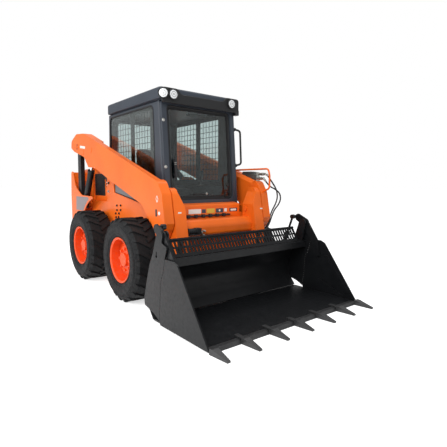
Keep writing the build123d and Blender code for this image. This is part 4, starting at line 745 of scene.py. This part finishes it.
# Radius and height of the rings of a lamp's bucket, of its glass and of the glass's boss.
BUCKET_RINGS = (
    (0.030, -0.004), (0.046, 0.006), (0.052, 0.022), (0.052, 0.036), (0.048, 0.0395),
    (0.0415, 0.034),
)
LENS_RINGS = (
    (0.0415, 0.033), (0.0405, 0.0365), (0.034, 0.0385), (0.020, 0.0395), (0.006, 0.0398),
)
BOSS_RINGS = ((0.008, 0.0390), (0.008, 0.0408), (0.006, 0.0414))
TRIM_RADIUS = 0.025
TRIM_PROFILE = ((0.003, 0.0380), (0.0025, 0.0402), (-0.0025, 0.0406), (-0.003, 0.0385))
RELAY_BOX = ((0.446, -0.352, 1.898), (0.492, -0.292, 1.954), 0.008)


class LOADER_OT_roof(bpy.types.Operator):
    """Shapes the roof's pressed cap, the black bar of painted shade under its front edge, and the
    lamps.
    """

    bl_idname = "loader.roof"
    bl_label = "Roof and Lamps"

    def execute(self, context):
        low, high = box_of("cab_roof")
        top = high.z - low.z
        cap = bmesh.new()
        base = Matrix.Translation((0, 0, low.z))
        # Inset and height: a folded side, a rounded edge, and a panel sunk inside it.
        loft_box(cap, base, low, high, ROOF_CORNER, (
            (0.012, 0), (0, 0.006), (0, top - 0.030), (0.005, top - 0.016),
            (0.016, top - 0.006), (0.035, top - 0.001), (0.075, top - 0.0005),
            (0.090, top - 0.007),
        ))
        for x in RIBS:
            rib = rounded_box(
                (x - RIB_HALF, low.y + RIB_MARGIN), (x + RIB_HALF, high.y - RIB_MARGIN), 0.03
            )
            pressed = ((0, top - 0.009), (-0.004, top - 0.004), (-0.012, top - 0.002))
            sweep_outline(cap, base, rib, pressed)
        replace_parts(finish_mesh("roof_cap", cap, "roof"), "cab_roof")

        bar, lenses, trims = bmesh.new(), bmesh.new(), bmesh.new()
        # Painted shade: a flat black sheet stands for the dark recess under the roof's front edge.
        add_plate(bar, facing((0, low.y, 0), (0, -1, 0)), rounded(*SHADE_BAR), 0.0005, 0.017, 0.004)
        for x, y, degrees in LAMPS:
            turn = math.radians(degrees)
            matrix = facing((x, y, LAMP_Z), (math.sin(turn), -math.cos(turn), 0))
            add_ring_stack(bar, matrix, BUCKET_RINGS, 36)
            add_ring_stack(lenses, matrix, LENS_RINGS, 36)
            trim = circle(0, 0, TRIM_RADIUS, 36)
            sweep_outline(trims, matrix, trim, TRIM_PROFILE, capped=False)
            add_ring_stack(trims, matrix, BOSS_RINGS, 20)
        finish_mesh("lamp_trims", trims, "zinc")
        # The lamps' black buckets and the bar of painted shade share one piece.
        finish_mesh("lamp_buckets_and_shade_bar", bar, "black_polymer")
        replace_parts(finish_mesh("lamp_lenses", lenses, "lens"), "work_lamps")

        relays = bmesh.new()
        add_block(relays, *RELAY_BOX)
        finish_mesh("lamp_relay_box", relays, "plastic")
        return {"FINISHED"}


# ---- cab door
# The door's plane: its foot and the way it looks. The places below lie in it, across and
# up from the foot, and their sections give (outward, height) over it.
DOOR_FOOT = (0.0, -0.345, 0.905)
DOOR_OUT = (0.0, -1.055, 0.087)
DOOR_OPENING = ((-0.404, 0.075), (0.404, 1.0196), 0.055)
SEAL_LIP = ((0, 0.0012), (-0.014, 0.0012), (-0.016, 0.006), (-0.009, 0.011), (0, 0.010))
GLASS_BORDER = ((-0.010, 0.0009), (-0.040, 0.0009), (-0.040, 0.0016), (-0.010, 0.0016))
# A cable grommet in the glass's lower corner.
GROMMET = (0.338, 0.120, 0.034)
GROMMET_RING = ((0.007, 0.001), (0.004, 0.011), (-0.004, 0.011), (-0.007, 0.001))
# Depth, height and radius of the side window's corners, and the section of its seal.
CAB_SIDE = 0.470
WINDOW = ((-0.185, 1.150, 0.04), (0.915, 1.150, 0.06), (0.915, 1.925, 0.06), (-0.150, 1.925, 0.06))
WINDOW_SEAL = (
    (0.006, 0.0004), (0.006, 0.003), (0.001, 0.005), (-0.010, 0.003), (-0.010, -0.0035),
)
GRIP = ((-0.342, 0.300), (-0.314, 0.494), 0.0135)
GRIP_SECTION = ((-0.004, 0.016), (0, 0.020), (0, 0.028), (-0.003, 0.033), (-0.008, 0.035))
POSTS = ((-0.328, 0.330, 0), (-0.328, 0.464, 0))
POST_RINGS = ((0.013, 0.001), (0.013, 0.005), (0.009, 0.007), (0.009, 0.020))
# Corners and radius of flat bars, with their near and far faces and broken edge.
INNER_BARS = (
    ((-0.366, 0.500), (-0.346, 0.960), 0.009, -0.034, -0.014, 0.004),
    ((-0.130, 0.944), (0.140, 0.974), 0.014, -0.034, -0.012, 0.005),
)
WIPER_BARS = (
    ((-0.150, 0.121), (0.150, 0.130), 0.004, 0.002, 0.014, 0.002),
    ((-0.110, 0.131), (0.062, 0.141), 0.004, 0.013, 0.019, 0.001),
    ((-0.105, 0.082), (0.035, 0.090), 0.0035, 0.001, 0.008, 0.001),
)
LATCH_PINS = (
    ((-0.345, 0.430), (-0.322, 0.437), 0.003, 0.034, 0.038, 0.001),
    ((-0.345, 0.446), (-0.322, 0.453), 0.003, 0.034, 0.038, 0.001),
)
# Place and size of each domed bolt, and the rings of one of full size.
DOMES = (((-0.445, 0.405, 0.033), 1.0), ((-0.445, 0.862, 0.033), 1.0), ((0.046, 0.136, 0.018), 0.8))
DOME_RINGS = ((0.016, 0), (0.016, 0.002), (0.012, 0.004), (0.010, 0.008), (0.004, 0.011))


class LOADER_OT_door(bpy.types.Operator):
    """Fits the cab's seals, and the door's dark glass border, handle, wiper and bolts."""

    bl_idname = "loader.door"
    bl_label = "Cab Door"

    def execute(self, context):
        door = facing(DOOR_FOOT, DOOR_OUT)
        black_polymer = bmesh.new()
        opening = rounded_box(*DOOR_OPENING)
        sweep_outline(black_polymer, door, opening, SEAL_LIP, capped=False)
        sweep_outline(black_polymer, door, opening, GLASS_BORDER, capped=False)
        for _, sign in SIDES:
            window = rounded(*((sign * y, z, radius) for y, z, radius in WINDOW))
            sweep_outline(black_polymer, facing_side(sign, CAB_SIDE), window, WINDOW_SEAL, capped=False)
        sweep_outline(black_polymer, door, circle(*GROMMET), GROMMET_RING, capped=False)
        finish_mesh("cab_seals", black_polymer, "black_polymer")

        handle = bmesh.new()
        sweep_outline(handle, door, rounded_box(*GRIP), GRIP_SECTION)
        for place in POSTS:
            add_ring_stack(handle, door @ Matrix.Translation(place), POST_RINGS, 20)
        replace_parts(finish_mesh("door_pull", handle, "plastic"), "door_handle")

        inner, wiper, bright = bmesh.new(), bmesh.new(), bmesh.new()
        for mesh, bars in ((inner, INNER_BARS), (wiper, WIPER_BARS)):
            for first, last, radius, *faces in bars:
                add_plate(mesh, door, rounded_box(first, last, radius), *faces)
        finish_mesh("door_inner_bars", inner, "plastic")
        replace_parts(finish_mesh("wiper_blade", wiper, "plastic"), "wiper")

        for place, size in DOMES:
            rings = [(radius * size, height) for radius, height in DOME_RINGS]
            add_ring_stack(bright, door @ Matrix.Translation(place), rings, 24)
        for first, last, radius, *faces in LATCH_PINS:
            add_plate(bright, door, rounded_box(first, last, radius), *faces)
        finish_mesh("door_bolts", bright, "zinc")
        return {"FINISHED"}


# ---- covers and handle
# Depth and height of the corners of the cover between each frame plate and the arm, the
# plane that it is screwed to, and the width of the black band along its foot.
COVER = ((-0.070, 0.926), (0.634, 1.020), (0.634, 1.214), (-0.030, 0.970))
COVER_SIDE = 0.5405
COVER_FOOT_BAND = 0.024
GRAB = (
    (0.462, -0.302, 1.752), (0.534, -0.322, 1.738), (0.540, -0.338, 1.368), (0.464, -0.326, 1.350),
)
GRAB_RADIUS = 0.011
GRAB_FOOT = ((0.020, 0.004), (0.020, 0.012), (0.014, 0.015))


class LOADER_OT_covers(bpy.types.Operator):
    """Fits the grey covers beside the cab and bends the grab handle."""

    bl_idname = "loader.covers"
    bl_label = "Covers and Handle"

    def execute(self, context):
        grey, edge = bmesh.new(), bmesh.new()
        strip = (*COVER[:2], *((y, z + COVER_FOOT_BAND) for y, z in reversed(COVER[:2])))
        for _, sign in SIDES:
            side = facing_side(sign, COVER_SIDE)
            add_plate(grey, side, on_side(sign, COVER, 0.006), 0, 0.006)
            # A black band along each cover's foot, where the frame's top edge meets it.
            add_plate(edge, side, on_side(sign, strip, 0.003), 0.005, 0.0072)
        finish_mesh("side_covers", grey, "cover")
        finish_mesh("cover_foot_bands", edge, "black_polymer")

        bar = bmesh.new()
        add_tube(bar, bent(GRAB, 0.030), GRAB_RADIUS, 18)
        for foot, ahead in ((GRAB[0], GRAB[1]), (GRAB[3], GRAB[2])):
            matrix = Matrix.Translation(foot) @ turn_to(Vector(ahead) - Vector(foot))
            add_ring_stack(bar, matrix, GRAB_FOOT, 24)
        piece = finish_mesh("grab_bar", bar, "black")
        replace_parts(piece, "grab_handle")
        return {"FINISHED"}


# ---- blank plates
# Finish and corners of each blank plate on the sill's front face.
SILL_PLATES = (
    ("pale_label", (-0.266, 0.846), (-0.114, 0.892)),
    ("dark_label", (-0.104, 0.850), (-0.054, 0.888)),
    ("straw_label", (-0.042, 0.846), (0.060, 0.892)),
    ("dark_label", (0.078, 0.846), (0.176, 0.890)),
    ("pale_label", (0.190, 0.852), (0.226, 0.888)),
    ("dark_label", (0.262, 0.850), (0.372, 0.888)),
)
SILL_DISC = (0.127, 0.868, 0.011)
SILL_PILL = ((0.276, 0.858), (0.358, 0.880), 0.010)
# Near and far faces and broken edge: of a plate, of a film laid on a plate, and of films.
PLATE, UPPER_FILM = (0.0002, 0.0016, 0.0005), (0.0014, 0.0024, 0.0004)
FILM, THIN_FILM = (0.0002, 0.0014, 0.0004), (0.0002, 0.0008, 0.0003)
SLOT_SHADE_FILM, REFLECTOR = (0.0002, 0.0012, 0.0003), (0.0002, 0.003, 0.001)
# Across of the arms' outer faces and depth of their legs' front faces.
ARM_SIDE = 0.665
LEG_FRONT = -0.732
# Depth and height of corners on the machine's sides.
PANEL_FILM = (
    (1.625, 0.965), (1.215, 0.970), (1.155, 0.945), (1.225, 0.912), (1.305, 0.858),
    (1.375, 0.785), (1.640, 0.785),
)
DIAMOND = ((-0.555, 0.976), (-0.532, 1.011), (-0.555, 1.046), (-0.578, 1.011))
DIAMOND_BAND = ((0, 0.0002), (0, 0.0012), (-0.006, 0.0012), (-0.006, 0.0002))
ARM_STRIP = ((1.430, 1.590), (1.430, 1.622), (1.250, 1.600), (1.250, 1.570))
ARM_DOT = (-0.592, 0.881)
# Depth, foot and head of the black film of painted shade that stands for a slot in each arm.
ARM_SLOT_SHADE = (-0.537, 0.850, 0.916)
LINK_PIN = (1.539, 1.612)
SNAP_RING = ((0.004, 0.0001), (0.004, 0.0035), (0, 0.0045), (-0.004, 0.0035), (-0.004, 0.0001))
LEG_PLATES = (-0.536, 0.484)


class LOADER_OT_plates(bpy.types.Operator):
    """Sticks the blank plates and films on the sill, the arms, the legs and the panels."""

    bl_idname = "loader.plates"
    bl_label = "Blank Plates"

    def execute(self, context):
        sill = facing((0, box_of("front_sill")[0].y, 0), (0, -1, 0))
        meshes = {key: bmesh.new() for key in ("pale_label", "straw_label", "dark_label")}
        for key, first, last in SILL_PLATES:
            add_plate(meshes[key], sill, rounded_box(first, last, 0.004), *PLATE)
        for outline in (circle(*SILL_DISC), rounded_box(*SILL_PILL)):
            add_plate(meshes["pale_label"], sill, outline, *UPPER_FILM)
        for key, mesh in meshes.items():
            finish_mesh("sill_" + key, mesh, key)

        pale, dark, pins, grey = bmesh.new(), bmesh.new(), bmesh.new(), bmesh.new()
        panel_side = box_of("rear_panels")[1].x
        for _, sign in SIDES:
            panel = facing_side(sign, panel_side)
            add_plate(grey, panel, on_side(sign, PANEL_FILM, 0.010), *THIN_FILM)
            side = facing_side(sign, ARM_SIDE)
            diamond = on_side(sign, DIAMOND, 0.004)
            sweep_outline(pale, side, diamond, DIAMOND_BAND, capped=False)
            add_plate(pale, side, on_side(sign, ARM_STRIP, 0.008), *FILM)
            dot_y, dot_z = ARM_DOT
            add_plate(pale, side, circle(sign * dot_y, dot_z, 0.017), *REFLECTOR)
            # Painted shade: a flat black film stands for the dark inside of the slot.
            slot_y, foot, head = ARM_SLOT_SHADE
            slot = rounded_box((sign * slot_y - 0.015, foot), (sign * slot_y + 0.015, head), 0.008)
            add_plate(dark, side, slot, *SLOT_SHADE_FILM)
            pin_y, pin_z = LINK_PIN
            sweep_outline(pins, side, circle(sign * pin_y, pin_z, 0.030), SNAP_RING, capped=False)
        leg = facing((0, LEG_FRONT, 0), (0, -1, 0))
        for x in LEG_PLATES:
            add_plate(pale, leg, rounded_box((x - 0.018, 0.883), (x + 0.018, 0.896), 0.004), *FILM)
        finish_mesh("arm_plates", pale, "pale_label", "arms")
        finish_mesh("panel_films", grey, "grey_label")
        finish_mesh("arm_slot_shades", dark, "plastic", "arms")
        finish_mesh("pin_snap_rings", pins, "black", "arms")
        return {"FINISHED"}


# ---- bolts
# Depth and height of the bolts through each side of the frame, and of the two plugs: the black one
# is painted shade in a pin hole, the zinc one a painted highlight below it.
FRAME_BOLTS = (
    (0.561, 0.891), (0.460, 0.896), (0.564, 0.838), (0.462, 0.844),
    (0.598, 0.797), (0.509, 0.803), (0.592, 0.754), (0.523, 0.760),
)
HOLE_SHADE_PLUG, HIGHLIGHT_PLUG = (0.782, 1.146), (0.789, 1.048)
PLUG_ACROSS = 0.024
SWIVEL_VALVE = ((-0.3295, -0.702, 0.668), (-0.270, -0.6505, 0.732), 0.006)
# Across and height of the caps on the swivel, the depth of their foot, and their rings.
SWIVEL_CAPS = ((-0.257, 0.688), (-0.221, 0.696), (-0.234, 0.660))
SWIVEL_FRONT = -0.650
CAP_HEX = ((0.013, -0.001), (0.013, 0.022), (0.011, 0.025))
CAP_NOSE = ((0.009, 0.024), (0.009, 0.040), (0.006, 0.043))
# Corners, radius, faces and edge of the tail latch's base and paddle.
LATCH_DEPTH = 0.004
LATCH = (
    ((0.395, 0.955), (0.445, 1.065), 0.012, 0.0, 0.0036, 0.001),
    ((0.408, 0.975), (0.432, 1.045), 0.010, 0.003, 0.0039, 0.0004),
)


class LOADER_OT_bolts(bpy.types.Operator):
    """Sets the bolt heads of the frame, the swivel's fittings and the tail latch."""

    bl_idname = "loader.bolts"
    bl_label = "Bolts and Fittings"

    def execute(self, context):
        wall = box_of("frame")[1].x
        dark, bright = bmesh.new(), bmesh.new()
        for _, sign in SIDES:
            out = (sign, 0, 0)
            for i, (y, z) in enumerate(FRAME_BOLTS):
                add_bolt(dark, (sign * wall, y, z), out, spin=0.4 * i)
            # Painted shade: a black plug where the pin hole shows dark.
            add_bolt(dark, (sign * wall, *HOLE_SHADE_PLUG), out, PLUG_ACROSS)
            # Painted highlight: a pale zinc plug where a bright spot shows.
            add_bolt(bright, (sign * wall, *HIGHLIGHT_PLUG), out, PLUG_ACROSS)
        finish_mesh("frame_bolts_and_hole_shade", dark, "black")
        finish_mesh("frame_highlight_plugs", bright, "zinc")

        valve, caps = bmesh.new(), bmesh.new()
        add_block(valve, *SWIVEL_VALVE)
        finish_mesh("swivel_valve", valve, "black", "arms")
        for x, z in SWIVEL_CAPS:
            matrix = facing((x, SWIVEL_FRONT, z), (0, -1, 0))
            add_ring_stack(caps, matrix, CAP_HEX, 6)
            add_ring_stack(caps, matrix, CAP_NOSE, 20)
        finish_mesh("swivel_caps", caps, "zinc", "arms")

        latch = bmesh.new()
        back = facing((0, box_of("tail_door")[1].y - LATCH_DEPTH, 0), (0, 1, 0))
        for first, last, radius, *faces in LATCH:
            add_plate(latch, back, rounded_box(first, last, radius), *faces)
        finish_mesh("tail_latch", latch, "plastic", "tail_door")
        return {"FINISHED"}


# ---- tyres
# Radius and reach from the wheel's middle of each rib moulded in a sidewall.
TYRE_RIBS = ((0.24, 0.138), (0.262, 0.1474), (0.338, 0.1528), (0.352, 0.1495))
RIB_PROFILE = ((-0.0050, -0.003), (-0.0035, 0.0024), (0.0035, 0.0027), (0.0050, -0.003))
VALVE_STEM = ((0, 0.196, 0.060), (0, 0.186, 0.085), (0, 0.180, 0.104))


class LOADER_OT_tyres(bpy.types.Operator):
    """Adds the moulded ribs of the sidewalls and the valves."""

    bl_idname = "loader.tyres"
    bl_label = "Tyre Ribs and Valves"

    def execute(self, context):
        for end, side, sign in WHEELS:
            wheel = f"{end}_{side}"
            low, high = box_of("tyre_" + wheel)
            out = facing((low + high) / 2, (sign, 0, 0))
            ribs, valve = bmesh.new(), bmesh.new()
            for radius, reach in TYRE_RIBS:
                rib = [(across, reach + rise) for across, rise in RIB_PROFILE]
                sweep_outline(ribs, out, circle(0, 0, radius, 96), rib, capped=False)
            finish_mesh("tyre_ribs_" + wheel, ribs, "rubber", "wheel_" + wheel)
            add_tube(valve, [out @ Vector(p) for p in VALVE_STEM], 0.004)
            finish_mesh("valve_" + wheel, valve, "plastic", "wheel_" + wheel)
        return {"FINISHED"}


# ---- seat
SEAT_LEAN = math.radians(8)
# Foot of the backrest, from the front and the floor of the seat's box.
SEAT_HINGE = (0.51, 0.11)
PAD_EDGE = 0.032
# Size of the simulated cloth's cells, its pressure and frames, and the furthest a point
# of it may move.
PAD_VOXEL, PAD_PRESSURE, PAD_FRAMES, PAD_CAP = 0.006, 4.0, 20, 0.014
# Sewn channels: two lengthwise and one across, with their depth and half width.
CHANNEL_SIDE, CHANNEL_ACROSS = 0.115, 0.05
CHANNEL_DEPTH, CHANNEL_WIDTH = 0.009, 0.007
# Sections of the moulded pan and back, and the two straps that join them.
PAN_SECTION = ((-0.02, 0.001), (0, 0.008), (0, 0.030), (-0.006, 0.034))
BACK_SECTION = ((-0.01, -0.004), (0, 0.002), (0, 0.012), (-0.02, 0.022), (-0.05, 0.026))
STRAPS = (-0.15, 0.15)
STRAP_PATH = ((0.44, 0.012), (0.53, 0.012), (0.555, 0.16))


def swell(piece):
    """Blows a closed pad up by cloth simulation, no point moving further than the cap."""
    scene = bpy.context.scene
    remesh = piece.modifiers.new("voxels", "REMESH")
    remesh.mode, remesh.voxel_size = "VOXEL", PAD_VOXEL
    graph = bpy.context.evaluated_depsgraph_get()
    even = bpy.data.meshes.new_from_object(piece.evaluated_get(graph))
    piece.modifiers.clear()
    piece.data = even
    cloth = piece.modifiers.new("cloth", "CLOTH")
    cloth.settings.use_pressure = True
    cloth.settings.uniform_pressure_force = PAD_PRESSURE
    cloth.settings.effector_weights.gravity = 0
    for number in range(1, PAD_FRAMES + 1):
        scene.frame_set(number)
    moved = piece.evaluated_get(bpy.context.evaluated_depsgraph_get()).to_mesh()
    swollen = [v.co.copy() for v in moved.vertices]
    piece.modifiers.clear()
    scene.frame_set(1)
    for vertex, place in zip(even.vertices, swollen):
        step = place - vertex.co
        if step.length > PAD_CAP:
            step *= PAD_CAP / step.length
        vertex.co += step


def add_pad(name, matrix, first, last, across, thick):
    """A padded cushion with sewn channels; across and thick are axes of its own box."""
    mesh = bmesh.new()
    add_block(mesh, first, last, PAD_EDGE)
    piece = finish_mesh(name, mesh, "vinyl", smooth_angle=80)
    swell(piece)
    middle = (Vector(first) + Vector(last)) / 2
    for vertex in piece.data.vertices:
        at = vertex.co - middle
        gap = min(abs(abs(at.x) - CHANNEL_SIDE), abs(at[across] - CHANNEL_ACROSS))
        depth = CHANNEL_DEPTH * math.exp(-((gap / CHANNEL_WIDTH) ** 2))
        vertex.co[thick] -= math.copysign(min(depth, abs(at[thick])), at[thick])
    piece.data.transform(matrix)
    piece.data.materials.clear()
    piece.data.materials.append(MATERIALS["vinyl"])
    piece.data.shade_smooth()
    soft = piece.modifiers.new("soften", "SUBSURF")
    soft.levels = soft.render_levels = 1
    return piece


class LOADER_OT_seat(bpy.types.Operator):
    """Replaces the plain seat with padded vinyl cushions on a moulded shell."""

    bl_idname = "loader.seat"
    bl_label = "Seat"

    def execute(self, context):
        low, high = box_of("seat")
        hinge = Vector((0, low.y + SEAT_HINGE[0], low.z + SEAT_HINGE[1]))
        cushion = add_pad(
            "seat_cushion", Matrix(), (low.x + 0.014, low.y + 0.010, low.z + 0.030),
            (high.x - 0.014, low.y + 0.480, low.z + 0.112), across=1, thick=2,
        )
        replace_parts(cushion, "seat")
        lean = Matrix.Translation(hinge) @ Matrix.Rotation(-SEAT_LEAN, 4, "X")
        add_pad(
            "seat_backrest", lean, (low.x + 0.024, -0.045, -0.010),
            (high.x - 0.024, 0.035, 0.500), across=2, thick=1,
        )

        shell = bmesh.new()
        base = Matrix.Translation((0, low.y + 0.255, low.z))
        pan = rounded_box((low.x + 0.02, -0.235), (high.x - 0.02, 0.235), 0.05)
        sweep_outline(shell, base, pan, PAN_SECTION)
        back = facing(hinge + Vector((0, 0.032, 0)), (0, 1, -math.tan(SEAT_LEAN)))
        rest = rounded_box((low.x + 0.03, 0.0), (high.x - 0.03, 0.490), 0.06)
        sweep_outline(shell, back, rest, BACK_SECTION)
        for x in STRAPS:
            strap = [(x, low.y + y, low.z + z) for y, z in STRAP_PATH]
            add_tube(shell, bent(strap, 0.03), 0.011, 12)
        finish_mesh("seat_shell", shell, "plastic")
        return {"FINISHED"}


# ---- add-on
OPERATORS = (
    LOADER_OT_stage, LOADER_OT_materials, LOADER_OT_hoses, LOADER_OT_roof, LOADER_OT_door,
    LOADER_OT_covers, LOADER_OT_plates, LOADER_OT_bolts, LOADER_OT_tyres, LOADER_OT_seat,
)


class LOADER_PT_sidebar(bpy.types.Panel):
    """Lists the loader's settings and steps."""

    bl_idname = "LOADER_PT_sidebar"
    bl_label = "Loader"
    bl_space_type = "VIEW_3D"
    bl_region_type = "UI"
    bl_category = "Loader"

    def draw(self, context):
        for group in (context.scene.loader_studio, context.scene.loader_finish):
            column = self.layout.column()
            for key in group.bl_rna.properties.keys():
                if key not in {"rna_type", "name"}:
                    column.prop(group, key)
        for step in OPERATORS:
            self.layout.operator(step.bl_idname)


CLASSES = (LoaderStudio, LoaderFinish, *OPERATORS, LOADER_PT_sidebar)


def register():
    """Registers the classes and hangs their settings on the scene."""
    for each in CLASSES:
        bpy.utils.register_class(each)
    bpy.types.Scene.loader_studio = PointerProperty(type=LoaderStudio)
    bpy.types.Scene.loader_finish = PointerProperty(type=LoaderFinish)


def unregister():
    """Takes back what register did."""
    del bpy.types.Scene.loader_finish
    del bpy.types.Scene.loader_studio
    for each in reversed(CLASSES):
        bpy.utils.unregister_class(each)


def main():
    """Dresses the frame."""
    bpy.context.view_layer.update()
    register()
    bpy.ops.loader.stage()
    bpy.ops.loader.materials()
    bpy.ops.loader.hoses()
    bpy.ops.loader.roof()
    bpy.ops.loader.door()
    bpy.ops.loader.covers()
    bpy.ops.loader.plates()
    bpy.ops.loader.bolts()
    bpy.ops.loader.tyres()
    bpy.ops.loader.seat()


if __name__ == "__main__":
    main()
